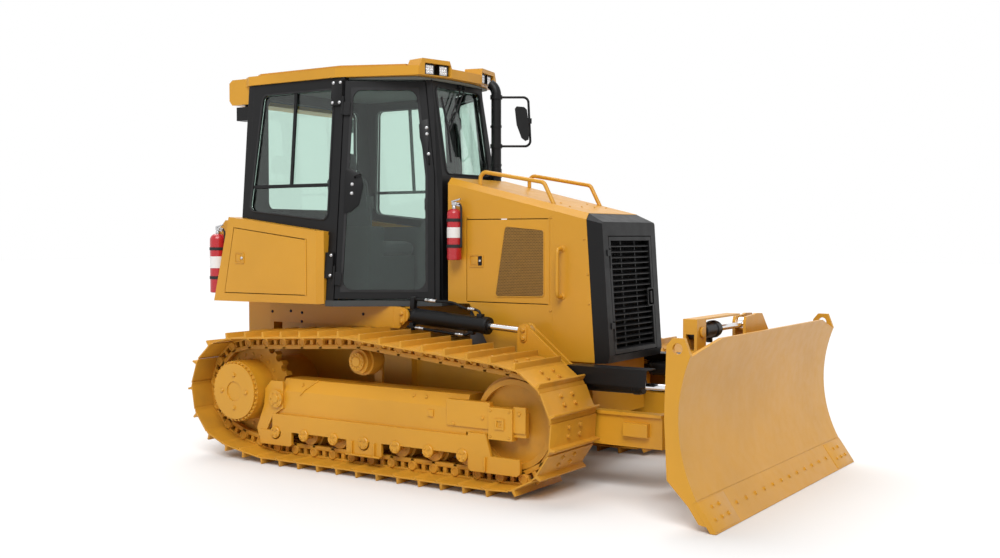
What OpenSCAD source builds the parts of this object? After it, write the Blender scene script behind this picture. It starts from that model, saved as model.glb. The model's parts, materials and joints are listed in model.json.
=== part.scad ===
// Crawler bulldozer with an enclosed cab and a lift, angle and tilt blade.
// Millimetres. +X points forward, +Y to the machine's left, +Z up.
// The origin is on the ground, under the middle of the whole machine.

/* [Tracks] */
// Distance between the two track centre planes
track_gauge = 1715; // [1690:5:1800]
// Width of a track shoe
shoe_w = 546; // [500:2:560]
// Number of shoes in each track
shoe_count = 39; // [39:1:40]
// Radius of the chain's pin line on sprocket and idler
pin_r = 337; // [325:1:345]
// Pin line to grouser tip
grouser_tip = 86; // [80:1:96]
// Pin line to the inner face of a shoe plate
plate_off = 38; // [34:1:42]
// Thickness of a shoe plate
plate_t = 10; // [8:1:14]
// Thickness of a grouser bar at its tip
grouser_t = 13; // [10:1:18]
// Pin line to the rail that the rollers run on
rail_drop = 46; // [40:1:50]
// Width of one chain rail
rail_w = 40; // [30:1:44]
// Gap between the two rails of a chain
rail_gap = 96; // [88:1:110]
// Sprocket axis, along the machine
sprocket_x = -1550; // [-1570:1:-1540]
// Sprocket axis height
sprocket_z = 477; // [465:1:485]
// Idler axis, along the machine
idler_x = 728; // [715:1:740]
// Carrier roller axis, along the machine
carrier_x = -511; // [-540:1:-490]
// Carrier roller axis height
carrier_z = 738; // [730:1:745]
// Radius of a carrier roller's tread
carrier_r = 83; // [76:1:88]
// Radius of a bottom roller's tread
roller_r = 74; // [66:1:78]
// First bottom roller, along the machine
roller_x0 = -1218; // [-1225:1:-1210]
// Spacing of the bottom rollers
roller_step = 267; // [260:1:269]
// Number of bottom rollers in each track
roller_count = 7; // [5:1:7]

/* [Frame and final drives] */
// Half width of the main case
case_half = 430; // [410:1:440]
// Half width of the frame that carries the cab
deck_half = 560; // [555:1:570]
// Height of the belly
belly_z = 330; // [315:1:350]
// Top of the frame that carries the cab
deck_z = 1088; // [1084:1:1092]
// Radius of the final drive's drum
hub_r = 214; // [200:1:225]
// Outer face of the final drive, from the centre line
hub_face = 1080; // [1060:1:1095]
// Radius of the roller frame's pivot shaft
pivot_r = 48; // [40:1:54]
// Half width of a roller frame
roller_frame_half = 128; // [120:1:136]
// Top of a roller frame
roller_frame_z = 582; // [570:1:600]

/* [Hood] */
// Bevel along the hood's upper edges
hood_bevel = 40; // [30:1:50]
// Half width of the hood
hood_half = 380; // [365:1:395]
// Thickness of the hood's sheet
hood_t = 12; // [8:1:16]
// Hood's rear end, along the machine
hood_x0 = -177; // [-190:1:-165]
// Hood's front end, along the machine
hood_x1 = 668; // [655:1:680]
// Height of the hood at its rear end
hood_z0 = 1985; // [1960:1:2000]
// Height of the hood at its front end
hood_z1 = 1786; // [1775:1:1800]
// Lower edge of the hood's sides
hood_low = 826; // [815:1:840]
// Engine door, rear and front edges
door_x0 = -16; // [-18:1:5]
// Front edge of the engine door
door_x1 = 640; // [625:1:645]
// Lower edge of the engine door
door_z0 = 1134; // [1128:1:1150]
// Upper edge of the engine door
door_z1 = 1690; // [1670:1:1705]
// Front edge of the radiator guard's sides
guard_x1 = 925; // [910:1:935]
// Depth of the black grille surround
surround_d = 112; // [100:1:125]
// Lean of the grille surround, in degrees
surround_lean = 4; // [3:0.5:5]
// Half width of the grille surround
surround_half = 378; // [370:1:385]

/* [Cab] */
// Half width of the cab at its floor, at the door posts
cab_half = 800; // [785:1:810]
// Lean of the cab's sides, in degrees
tumble = 4.8; // [4:0.1:5.5]
// Top of the cab's floor
floor_z = 1130; // [1126:1:1136]
// Underside of the roof
roof_z = 2694; // [2680:1:2710]
// Thickness of the cab's walls
wall_t = 50; // [40:1:56]
// Rear face of the cab
cab_x0 = -1790; // [-1800:1:-1780]
// Door post, along the machine
post_x = -930; // [-940:1:-925]
// Width of the door post
post_w = 70; // [60:1:76]
// Thickness of the roof's edge
roof_t = 66; // [60:1:72]
// Turn of the doors towards the centre line, in degrees
door_turn = 36; // [35:0.5:37]
// Front face of the cab
cab_x1 = -262; // [-266:1:-256]
// How far the cab's front is narrower than its door posts, on each side
front_in = 470; // [465:1:475]
// Height where the windscreen starts
screen_z = 2004; // [2000:1:2020]
// Backward lean of the windscreen, in degrees
screen_lean = 9; // [8:0.5:10]
// Thickness of the glass
glass_t = 6; // [5:1:8]

/* [Blade] */
// Width of the blade
blade_w = 2430; // [2380:5:2480]
// Height of the blade's middle
blade_h = 1012; // [990:1:1030]
// Height of the blade's outer corners
blade_corner_h = 930; // [910:1:950]
// Length of the sloped stretch of the blade's top
blade_slope = 350; // [300:5:400]
// Radius of the blade's hollow front
blade_r = 900; // [860:5:1000]
// Thickness of the blade's sheet
blade_t = 22; // [16:1:26]
// Foremost point of the cutting edge
blade_x = 2174; // [2166:1:2180]
// How far the blade's top lies behind its foot
blade_rake = 118; // [100:1:130]
// Axis that the blade tilts about, height
tilt_z = 375; // [365:1:385]
// Post that the blade angles on, along the machine
angle_x = 1620; // [1612:1:1628]
// Radius of the angle post
angle_r = 60; // [50:1:66]
// Radius of the blade's lifting eyes
eye_r = 30; // [24:1:34]

/* [Lift frame and cylinders] */
// Trunnion of the lift frame, along the machine
trunnion_x = -600; // [-606:1:-594]
// Trunnion height
trunnion_z = 430; // [422:1:438]
// Radius of a trunnion pin
trunnion_r = 50; // [42:1:56]
// Inner face of a lift arm, from the centre line
arm_in = 482; // [478:1:486]
// Outer face of a lift arm, from the centre line
arm_out = 548; // [542:1:552]
// Lower face of the lift frame
arm_z0 = 285; // [275:1:292]
// Upper face of the lift frame
arm_z1 = 478; // [470:1:484]
// Barrel pin of a lift cylinder, along the machine
lift_x = -440; // [-446:1:-434]
// Barrel pin of a lift cylinder, height
lift_z = 1030; // [1024:1:1034]
// Rod pin of a lift cylinder, along the machine
tower_x = 556; // [548:1:564]
// Rod pin of a lift cylinder, height
tower_z = 962; // [954:1:970]
// Lift cylinders, from the centre line
lift_y = 515; // [513:1:517]
// Radius of a lift cylinder's barrel
lift_r = 55; // [48:1:56]
// Length of a lift cylinder's barrel from its pin
lift_len = 700; // [660:1:720]
// Barrel pin of an angle cylinder, along the machine
angle_cyl_x = 880; // [874:1:886]
// Barrel pin of an angle cylinder, from the centre line
angle_cyl_y = 500; // [496:1:504]
// Height of the angle cylinders
angle_cyl_z = 655; // [648:1:662]
// Rod pin of an angle cylinder, along the machine
angle_eye_x = 1640; // [1634:1:1646]
// Rod pin of an angle cylinder, from the centre line
angle_eye_y = 460; // [454:1:466]
// Radius of an angle cylinder's barrel
angle_cyl_r = 50; // [44:1:54]
// Length of an angle cylinder's barrel from its pin
angle_len = 500; // [470:1:505]
// Tilt cylinder, along the machine
tilt_cyl_x = 1890; // [1884:1:1894]
// Barrel pin of the tilt cylinder, right of the centre line
tilt_pin_y = 870; // [862:1:876]
// Rod pin of the tilt cylinder, right of the centre line
tilt_rod_y = 150; // [142:1:156]
// Radius of the tilt cylinder's barrel
tilt_cyl_r = 46; // [40:1:48]
// Length of the tilt cylinder's barrel from its pin
tilt_len = 295; // [284:1:310]

/* [Rear] */
// Rearmost face of the machine
rear_x = -2174; // [-2180:1:-2166]
// Radius of the drawbar's pin hole
drawbar_r = 22; // [16:1:26]
// Height of the drawbar
drawbar_z = 470; // [460:1:480]
// Spacing across of the rear face's bolt holes
rear_bolt_y = 400; // [360:5:440]
// Spacing up of the rear face's bolt holes
rear_bolt_z = 220; // [200:5:240]
// Radius of the rear face's bolt holes
rear_bolt_r = 13; // [10:1:16]
// Outer face of the side boxes, from the centre line
box_out = 850; // [840:1:860]
// Inner face of the side boxes, from the centre line
box_in = 640; // [630:1:645]

/* [Fits] */
// Running clearance of a pin in its hole, on the radius
run = 0.05; // [0.03:0.01:0.08]
// Gap round a fitted panel
gap = 0.3; // [0.2:0.05:0.4]
// Gap round a door
door_gap = 6; // [5:0.5:8]

/* [Hidden] */
$fn = 48;

YELLOW = "#dba338";
BLACK = "#26272a";
STEEL = "#b9bcc0";
GLASS = "#8fb3ab";
RED = "#b3202a";
big = 6000;

stack_r = 37;
grille_hinges = [90, 560];
hinge_r = 10;
hinge_h = 90;
hinge_heights = [110, 1300];

door_w = (cab_x1 - post_x - post_w) / cos(door_turn) - 35;
tilt_cyl_z = blade_h + 28;
tilt_pin_bore = 20;
lug_half = 62;
hood_slope = atan2(hood_z0 - hood_z1, hood_x1 - hood_x0);

// Right-hand corners of the roof's front edge, and the lamps set into it
front_half = cab_half - front_in;
roof_half = cab_half - 110;
rear_half = cab_half - 160;
roof_corner = [cab_x1 - 90, 208 - roof_half];
roof_nose = [cab_x1 - 20, 512 - roof_half];
pod_len = norm(roof_nose - roof_corner);
pod_turn = atan2(roof_nose[1] - roof_corner[1], roof_nose[0] - roof_corner[0]);
pod_d = 140;
recess_d = 62;
lamp_w = 84;
lamp_h = 76;
lamp_z = 8;
// Underside of the unit behind the roof
unit_z = roof_z - 128;
// Top of the side windows, up along the leaning side
window_top = 1490;

idler_z = grouser_tip + pin_r;
track_y = track_gauge / 2;
rail_in = rail_gap / 2;
rail_out = rail_in + rail_w;
roller_z = grouser_tip + rail_drop + roller_r + gap;
skirt_z = roller_z + 10;
skirt_t = 22;
guard_z = grouser_tip + 30;

// The chain's pin line runs round four circles, listed counter-clockwise as [x, z, radius]
belt = [[roller_x0 - 0.57 * roller_r, grouser_tip + rail_drop + roller_r, rail_drop + roller_r],
    [idler_x, idler_z, pin_r],
    [carrier_x, carrier_z, rail_drop + carrier_r + 2],
    [sprocket_x, sprocket_z, pin_r]];
belt_n = len(belt);
function hop(i) = belt[(i + 1) % belt_n] - belt[i];
function hop_d(i) = norm([hop(i)[0], hop(i)[1]]);
function raw_normal(i) = atan2(hop(i)[1], hop(i)[0]) - 90 - asin(hop(i)[2] / hop_d(i));
function wrap(a) = a - 360 * floor(a / 360);
function line_len(i) = sqrt(pow(hop_d(i), 2) - pow(hop(i)[2], 2));
function turn(i) = wrap(raw_normal((i + 1) % belt_n) - raw_normal(i));
function arc_len(i) = belt[(i + 1) % belt_n][2] * turn(i) * PI / 180;
function stretch_len(i) = line_len(i) + arc_len(i);
function belt_total(i = 0) = i == belt_n ? 0 : stretch_len(i) + belt_total(i + 1);
function dir(a) = [cos(a), sin(a)];
function on_line(i, s) = [belt[i][0], belt[i][1]] + belt[i][2] * dir(raw_normal(i))
    + s * dir(raw_normal(i) + 90);
function on_arc(i, s) = let (c = belt[(i + 1) % belt_n])
    [c[0], c[1]] + c[2] * dir(raw_normal(i) + s / c[2] * 180 / PI);
function on_belt(s, i = 0) = s > stretch_len(i) && i < belt_n - 1 ? on_belt(s - stretch_len(i), i + 1)
    : s <= line_len(i) ? on_line(i, s) : on_arc(i, s - line_len(i));

belt_len = belt_total();
shoe_pitch = belt_len / shoe_count;
// One pin of the chain stands over the top of the carrier roller
carrier_s = stretch_len(0) + stretch_len(1) - arc_len(1) / 2;
chain_start = carrier_s - shoe_pitch * floor(carrier_s / shoe_pitch);
function pin(k) = on_belt(chain_start + (k % shoe_count) * shoe_pitch
    - (chain_start + (k % shoe_count) * shoe_pitch >= belt_len ? belt_len : 0));
pins = [for (k = [0 : shoe_count - 1]) pin(k)];
function next_pin(k) = pins[(k + 1) % shoe_count];
function last_pin(k) = pins[(k + shoe_count - 1) % shoe_count];
function chord(k) = next_pin(k) - pins[k];
function chord_angle(k) = atan2(chord(k)[1], chord(k)[0]);
function outward(k) = let (v = next_pin(k) - last_pin(k)) [v[1], -v[0]] / norm(v);
function ring(off) = [for (k = [0 : shoe_count - 1]) pins[k] + off * outward(k)];

// Lift frame, blade carrier and blade
lift_dx = tower_x - lift_x;
lift_dz = tower_z - lift_z;
lift_tilt = -atan2(lift_dz, lift_dx);
lift_reach = norm([lift_dx, lift_dz]);
angle_turn = atan2(angle_cyl_y - angle_eye_y, angle_eye_x - angle_cyl_x);
angle_reach = norm([angle_eye_x - angle_cyl_x, angle_cyl_y - angle_eye_y]);
nose_r = 112;
blade_half = blade_w / 2;
tilt_pin_r = 60;
column_x = angle_x + nose_r + 20;
// The blade's hollow is an arc from its foot to its head
foot_p = [blade_x, 0];
head_p = [blade_x - blade_rake, blade_h];
arc_chord = head_p - foot_p;
arc_side = [arc_chord[1], -arc_chord[0]] / norm(arc_chord);
hollow_c = (foot_p + head_p) / 2 + arc_side * sqrt(pow(blade_r, 2) - pow(norm(arc_chord) / 2, 2));
foot_a = 180 + atan2(hollow_c[1], hollow_c[0] - blade_x);
head_a = 180 - atan2(blade_h - hollow_c[1], hollow_c[0] - head_p[0]);
edge_len = 200;
edge_t = 28;
edge_a = foot_a - 2 * asin(edge_len / 2 / blade_r);
edge_dir = (hollow_c + blade_r * dir(edge_a) - foot_p) / edge_len;
eye_t = 46;
ear_t = 18;
bore_start = 54;
side_gap = 2;
ear_off = eye_t / 2 + side_gap;
arm_x1 = angle_x - 80;
angle_ear_top = angle_cyl_z + ear_off + ear_t;
// Front end of the towers, where the covers of the angle cylinders are bolted on
tower_front_z = angle_ear_top + 59;
tower_low_z = angle_ear_top + 8;

// Places a right-hand shape on the other side too
module both_sides() {
    children();
    mirror([0, 1, 0]) children();
}

// A flat plate from an outline in x and z, from y = 0 to y = t
module plate_xz(t) {
    translate([0, t, 0]) rotate([90, 0, 0]) linear_extrude(t) children();
}

// A flat plate from an outline in y and z, from x = 0 to x = t
module plate_yz(t) {
    rotate([90, 0, 90]) linear_extrude(t) children();
}

// A cylinder along Y from y0 to y1
module rod_y(r, y0, y1) {
    translate([0, y1, 0]) rotate([90, 0, 0]) cylinder(r = r, h = y1 - y0);
}

// A rectangle with round corners, from corner p to corner q
module round_rect(p, q, r) {
    translate([p[0] + r, p[1]]) square([q[0] - p[0] - 2 * r, q[1] - p[1]]);
    translate([p[0], p[1] + r]) square([q[0] - p[0], q[1] - p[1] - 2 * r]);
    for (x = [p[0] + r, q[0] - r], y = [p[1] + r, q[1] - r]) translate([x, y]) circle(r = r);
}

// A round tube through points in x and z, whose straights are tucked into elbows of one radius
module bent_rod(path, r, bend) {
    last = len(path) - 1;
    tuck = 2;
    for (i = [0 : last - 1]) {
        h = heading(path, i);
        a = path[i] + (i > 0 ? elbow_trim(path, i, bend) - tuck : 0) * dir(h);
        b = path[i + 1] - (i < last - 1 ? elbow_trim(path, i + 1, bend) - tuck : 0) * dir(h);
        translate([a[0], 0, a[1]]) rotate([0, 90 - h, 0]) cylinder(r = r - gap, h = norm(b - a));
    }
    for (i = [1 : last - 1]) {
        h = heading(path, i - 1);
        swing = elbow(path, i);
        side = swing > 0 ? 1 : -1;
        c = path[i] - elbow_trim(path, i, bend) * dir(h) + side * bend * dir(h + 90);
        translate([c[0], 0, c[1]]) rotate([90, 0, 0]) rotate([0, 0, swing > 0 ? h - 90 : h + 90 + swing])
            rotate_extrude(angle = abs(swing)) translate([bend, 0]) circle(r = r);
    }
}

function heading(path, i) = let (v = path[i + 1] - path[i]) atan2(v[1], v[0]);
function elbow(path, i) = let (t = heading(path, i) - heading(path, i - 1)) t - 360 * round(t / 360);
function elbow_trim(path, i, bend) = bend * tan(abs(elbow(path, i)) / 2);

// Tracks and rollers

// Shoe plates and grousers in outline
module shoe_outline() {
    difference() {
        polygon(ring(plate_off + plate_t));
        polygon(ring(plate_off));
    }
    for (k = [0 : shoe_count - 1]) translate(pins[k]) rotate(chord_angle(k))
        translate([shoe_pitch * 0.12, -grouser_tip])
            polygon([[-grouser_t / 2, 0], [grouser_t / 2, 0],
                [grouser_t * 0.8, grouser_tip - plate_off - plate_t + 1],
                [-grouser_t * 0.8, grouser_tip - plate_off - plate_t + 1]]);
}

// Both rails of the chain in outline
module rail_outline() {
    difference() {
        polygon(ring(plate_off + 1));
        polygon(ring(-rail_drop));
    }
}

module track_loop() {
    color(YELLOW) {
        plate_xz_centred(shoe_w) shoe_outline();
        for (s = [-1, 1]) translate([0, s * (rail_in + rail_w / 2), 0])
            plate_xz_centred(rail_w) rail_outline();
    }
}

module plate_xz_centred(t) {
    translate([0, -t / 2, 0]) plate_xz(t) children();
}

module track_right() {
    translate([0, -track_y, 0]) track_loop();
}

module track_left() {
    translate([0, track_y, 0]) track_loop();
}

// Toothed ring that drives the chain
module sprockets() {
    teeth = 25;
    ring_t = 58;
    tip_r = pin_r + 12;
    color(YELLOW) both_sides() translate([sprocket_x, -track_y, sprocket_z])
        plate_xz_centred(ring_t) difference() {
            circle(r = tip_r, $fn = 100);
            circle(r = hub_r + gap);
            for (k = [0 : teeth - 1]) rotate(k * 360 / teeth)
                translate([pin_r + 6, 0]) circle(r = 27, $fn = 24);
        }
}

module idlers() {
    tread_r = pin_r - rail_drop - 12;
    color(YELLOW) both_sides() translate([idler_x, -track_y, idler_z]) {
        difference() {
            union() {
                rod_y(tread_r, -rail_out, rail_out);
                rod_y(tread_r + 24, -rail_in + 4, rail_in - 4);
            }
            for (s = [-1, 1]) scale([1, s, 1]) translate([0, rail_in, 0]) difference() {
                rod_y(tread_r - 34, 0, rail_w + 1);
                rod_y(70, -1, rail_w + 2);
            }
            rod_y(34, -rail_out - 1, rail_out + 1);
        }
    }
}

// Bottom rollers and the carrier roller of both tracks
module track_rollers() {
    color(YELLOW) both_sides() translate([0, -track_y, 0]) {
        for (k = [0 : roller_count - 1]) translate([roller_x0 + k * roller_step, 0, roller_z]) {
            rod_y(roller_r, -rail_out, rail_out);
            if (k > 0) rod_y(roller_r + 16, -rail_in + 4, rail_in - 4);
            rod_y(30, -roller_frame_half + gap - 22, roller_frame_half + 22 - gap);
        }
        translate([carrier_x, 0, carrier_z]) {
            rod_y(carrier_r, -rail_out, rail_out);
            rod_y(carrier_r + 14, -rail_in + 4, rail_in - 4);
            rod_y(62, -rail_out - 22, rail_out);
            rod_y(40, rail_out, rail_out + 34);
        }
    }
}

// Box beam with its skirts, idler yoke, guards and carrier bracket
module roller_frame_body() {
    x0 = roller_x0 + 40;
    x1 = idler_x - 330;
    yoke_x1 = idler_x + 117;
    half = roller_frame_half;
    low = roller_z + roller_r + 30;
    shoulder_z = roller_frame_z - 82;
    bracket_h = carrier_z - roller_frame_z + 160;
    difference() {
        union() {
            translate([x0, 0, 0]) plate_yz(x1 - x0)
                polygon([[-half, low], [-half, shoulder_z], [-half + 48, roller_frame_z],
                    [half - 48, roller_frame_z], [half, shoulder_z], [half, low]]);
            for (s = [-1, 1]) scale([1, s, 1]) {
                translate([x0 - 70, half - 30, low]) cube([x1 - x0 + 70, 30, shoulder_z - low]);
                translate([x0 - 70, half, skirt_z]) cube([x1 - x0 + 150, skirt_t, low + 26 - skirt_z]);
                translate([x1 - 1, half - 34, idler_z - 70]) cube([yoke_x1 - x1, 34, 150]);
                for (k = [0, 3]) translate([roller_x0 + k * roller_step, half, 0]) roller_guard();
                translate([idler_x, half, 0]) idler_guard();
            }
            translate([idler_x - 473, -half - 10, idler_z - 36]) cube([329, 44, 165]);
            translate([idler_x - 145, -half - 26, idler_z - 94]) cube([176, 60, 198]);
            translate([idler_x + 30, -half - 10, idler_z - 43]) cube([yoke_x1 - idler_x - 30, 30, 160]);
            translate([carrier_x - 34, rail_out + 34, roller_frame_z - 110]) cube([68, 20, bracket_h]);
            rotate_pivot() rod_y(pivot_r + 24, half - 30, half + 34);
            rotate_pivot() translate([0, -half - 16, 0]) plate_xz(17) pivot_strap_outline();
            rotate_pivot() rod_y(pivot_r + 14, -half - 34, -half - 15);
        }
        rotate_pivot() rod_y(pivot_r + run, half - 40, half + 60);
        for (k = [0 : roller_count - 1]) translate([roller_x0 + k * roller_step, 0, roller_z])
            rod_y(30 + gap, -half - 40, half + 40);
        translate([idler_x, 0, idler_z]) rod_y(34 + gap, -half + 1, half + 40);
    }
    translate([idler_x, 0, idler_z]) rod_y(33.7, -half + 2, half + 14);
}

// Strap that holds the pivot's cap, with the arm that reaches down behind the last roller
module pivot_strap_outline() {
    polygon([[-54, 123], [-110, 64], [-124, -53], [-194, -219], [-176, -277], [-120, -265], [-42, -123],
        [58, -63], [58, 123]]);
}

// Plate under the skirt that keeps the chain on a roller
module roller_guard() {
    half_w = 150;
    corner = 14;
    plate_xz(skirt_t) difference() {
        polygon([[-half_w, skirt_z + 1], [-half_w, guard_z + corner], [-half_w + corner, guard_z],
            [half_w - corner, guard_z], [half_w, guard_z + corner], [half_w, skirt_z + 1]]);
        translate([0, roller_z]) circle(r = 50);
    }
}

// Plate that keeps the chain in line in front of the first roller
module idler_guard() {
    plate_xz(skirt_t) polygon([[-301, idler_z - 66], [-301, guard_z + 20], [-283, guard_z], [62, guard_z],
        [84, guard_z + 19], [84, guard_z + 105], [-128, guard_z + 105], [-168, idler_z - 66]]);
}

// Shaft that a roller frame turns on
module rotate_pivot() {
    translate([roller_x0 + 10, 0, 443]) children();
}

module roller_frames() {
    color(YELLOW) both_sides() translate([0, -track_y, 0]) roller_frame_body();
}

// Main frame

module main_frame() {
    front_x = 960;
    sill_z = 780;
    deck_x0 = -1700;
    deck_x1 = -520;
    deck_h = 150;
    case_h = 500;
    rail_half = hood_half - hood_t - gap;
    deck_low = deck_z - deck_h;
    color(YELLOW) {
        difference() {
            union() {
                translate([rear_x + 114, -case_half, belly_z])
                    cube([trunnion_x + 26 - rear_x, 2 * case_half, case_h]);
                translate([trunnion_x + 139, -rail_half, belly_z + 60])
                    cube([front_x - trunnion_x - 139, 2 * rail_half, 430]);
                translate([hood_x0 + 345, -hood_half, sill_z])
                    cube([hood_x1 - hood_x0 - 350, 2 * hood_half, hood_low - sill_z - gap]);
                translate([deck_x0, -deck_half, deck_low]) cube([deck_x1 - deck_x0, 2 * deck_half, deck_h]);
                translate([deck_x0, -case_half, belly_z + case_h - 1])
                    cube([deck_x1 - deck_x0, 2 * case_half, deck_low - belly_z - case_h + 2]);
                for (s = [-1, 1]) scale([1, s, 1]) {
                    for (y = [lift_y - ear_off - ear_t, lift_y + ear_off]) translate([0, y, 0])
                        lift_bracket_plate(deck_x1 - 20, deck_low);
                    translate([trunnion_x, 0, trunnion_z])
                        rod_y(trunnion_r + 28, case_half - 1, arm_in - side_gap);
                }
            }
            for (s = [-1, 1], q = [-1, 1])
                translate([rear_x + 100, s * rear_bolt_y / 2, 640 + q * rear_bolt_z / 2])
                    rotate([0, 90, 0]) cylinder(r = rear_bolt_r, h = 90);
        }
        for (s = [-1, 1]) scale([1, s, 1]) {
            translate([trunnion_x, 0, trunnion_z]) rod_y(trunnion_r, case_half, arm_out + 14);
            rotate_pivot() rod_y(pivot_r, case_half - 1, track_y - roller_frame_half + 34);
            translate([lift_x, 0, lift_z]) rod_y(24, lift_y - ear_off - 1, lift_y + ear_off + 1);
        }
        difference() {
            translate([rear_x, -70, drawbar_z - 30]) cube([116, 140, 60]);
            translate([rear_x + 52, 0, drawbar_z - 100]) cylinder(r = drawbar_r, h = 200);
        }
    }
}

// Ear that holds a lift cylinder's barrel pin
module lift_bracket_plate(x0, z0) {
    plate_xz(ear_t) polygon(concat([[x0, z0], [x0, deck_z], [lift_x - 30, deck_z]],
        [for (a = [80 : -20 : -80]) [lift_x + 52 * cos(a), lift_z + 52 * sin(a)]],
        [[lift_x - 30, z0]]));
}

module final_drives() {
    color(YELLOW) both_sides() translate([sprocket_x, 0, sprocket_z]) difference() {
        union() {
            rod_y(hub_r, -hub_face + 20, -case_half - gap);
            rod_y(hub_r - 16, -hub_face, -hub_face + 21);
            rod_y(hub_r + 60, -track_y + 29 + gap, -track_y + 29 + 40);
        }
        rod_y(70, -hub_face - 1, -hub_face + 8);
    }
}

module engine_block() {
    color(STEEL) translate([-60, -280, hood_low]) cube([680, 560, 640]);
}

// Hood and radiator

function hood_top(x) = hood_z0 + (hood_z1 - hood_z0) * (x - hood_x0) / (hood_x1 - hood_x0);

module hood_side_outline() {
    polygon([[hood_x0, hood_low + 290], [hood_x0, hood_z0 + 10], [hood_x1, hood_z0 + 10], [hood_x1, hood_low],
        [hood_x0 + 340, hood_low], [hood_x0 + 180, hood_low + 290]]);
}

module hood() {
    color(YELLOW) difference() {
        intersection() {
            translate([0, -hood_half, 0]) plate_xz(2 * hood_half) hood_side_outline();
            hood_envelope(0);
        }
        intersection() {
            translate([hood_x0 - 2, -hood_half, hood_low - 50])
                cube([hood_x1 - hood_x0 + 4, 2 * hood_half, hood_z0 - hood_low + 60]);
            hood_envelope(hood_t);
        }
        for (s = [-1, 1]) scale([1, s, 1]) translate([0, hood_half - hood_t - 2, 0]) plate_xz(hood_t + 4)
            square_at([door_x0 - door_gap, door_z0 - door_gap], [door_x1 + door_gap, door_z1 + door_gap]);
    }
}

module square_at(p, q) {
    translate(p) square(q - p);
}

// Space under the bevelled roof that slopes down to the front, set in by inset
module hood_envelope(inset) {
    half = hood_half - inset;
    edge = hood_bevel - inset * 0.4;
    translate([hood_x0, 0, hood_z0 - inset]) rotate([0, hood_slope, 0]) translate([-200, 0, 0])
        plate_yz(1700) polygon([[-half, -1600], [-half, -edge], [-half + edge, 0], [half - edge, 0],
            [half, -edge], [half, -1600]]);
}

// Radiator guard's sides and top
module radiator_guard() {
    x0 = hood_x1 + gap;
    low = hood_low - 60;
    high = hood_z1 + 20;
    color(YELLOW) difference() {
        intersection() {
            translate([0, -hood_half, 0]) plate_xz(2 * hood_half) polygon([[x0, hood_low], [x0, high],
                [surround_x(high), high], [surround_x(low), low], [hood_x1 + 140, low]]);
            hood_envelope(0);
        }
        intersection() {
            translate([hood_x1 - 5, -hood_half + hood_t, 0])
                cube([guard_x1 - hood_x1 + 100, 2 * hood_half - 2 * hood_t, hood_z1]);
            hood_envelope(hood_t);
        }
    }
}

// Black frame that holds the grille door
module grille_surround() {
    front_h = 905;
    rear_h = 968;
    rim = 70;
    color(BLACK) intersection() {
        surround_place() difference() {
            plate_xz_centred(2 * surround_half)
                polygon([[gap, 0], [surround_d, 0], [surround_d, front_h], [gap, rear_h]]);
            translate([-1, -surround_half + 26, 40]) cube([surround_d - 34, 2 * surround_half - 52, 810]);
            translate([-1, -surround_half + rim, 46]) cube([surround_d + 2, 2 * (surround_half - rim), 770]);
        }
        hood_envelope(2);
    }
    color(BLACK) surround_place() grille_hinge_place() for (z = grille_hinges)
        translate([0, 0, z + 80 + gap]) {
            cylinder(r = 8, h = 40);
            translate([1, -40, 0]) cube([7, 40, 40]);
        }
}

// Rear face of the leaning grille surround at height z
function surround_x(z) = guard_x1 + 56 - (z - hood_low + 66) * tan(surround_lean);

// Frame of the leaning grille surround: x forward, z up along its face
module surround_place() {
    translate([guard_x1 + 56, 0, hood_low - 66]) rotate([0, -surround_lean, 0]) children();
}

module radiator_core() {
    color(BLACK) translate([hood_x1 + 60, -hood_half + 30, belly_z + 490 + gap])
        cube([150, 2 * hood_half - 60, 800]);
}

// Slatted door in front of the radiator
module grille_door() {
    half = surround_half - 70 - door_gap;
    top = 770 - door_gap;
    slats = 19;
    pitch = (top - 60) / slats;
    color(BLACK) surround_place() translate([surround_d - 34, 0, 46]) {
        difference() {
            translate([0, -half, door_gap]) cube([34, 2 * half, top - door_gap]);
            translate([-1, -half + 26, door_gap + 26]) cube([36, 2 * half - 52, top - door_gap - 52]);
            for (z = grille_hinges) translate([-1, -half - 1, z + 78]) cube([36, 22, 50]);
        }
        for (k = [0 : slats - 1]) translate([4, -half + 20, 40 + k * pitch]) rotate([0, 25, 0])
            cube([24, 2 * half - 40, 7]);
        for (y = [-half * 0.33, half * 0.33]) translate([2, y - 5, 20]) cube([8, 10, top - 40]);
    }
    color(BLACK) surround_place() grille_hinge_place() for (z = grille_hinges)
        translate([0, 0, z]) cylinder(r = 8, h = 80);
}

// Line that the grille door turns about, in the surround's frame
module grille_hinge_place() {
    translate([surround_d - 2, -surround_half + 70 + 2 * door_gap, 46]) children();
}

// Cab

// Frame of a cab side: x along the machine, z up the leaning side, y inward
module side_place() {
    translate([0, -cab_half, floor_z]) rotate([-tumble, 0, 0]) children();
}

// Frame of a door: x from the door post forward, z up, y inward
module door_place() {
    translate([post_x + post_w, -cab_half, floor_z]) rotate([-tumble * cos(door_turn), 0, door_turn])
        children();
}

// Everything between two heights
module between(z0, z1) {
    translate([-big / 2, -big / 2, z0]) cube([big, big, z1 - z0]);
}

module cab_floor() {
    side_y = box_in - 1;
    post_rear = post_x - 5;
    post_front = post_x + post_w;
    nose_y = front_half + 8;
    color(BLACK) translate([0, 0, deck_z + gap]) linear_extrude(floor_z - deck_z - gap)
        polygon([[cab_x0, -side_y], [post_rear, -side_y], [post_rear, -cab_half], [post_front, -cab_half],
            [cab_x1, -nose_y], [cab_x1, nose_y], [post_front, cab_half],
            [post_rear, cab_half], [post_rear, side_y], [cab_x0, side_y]]);
}

function box_top(x) = 1716 - (x + 1800) * 0.12;

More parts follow.
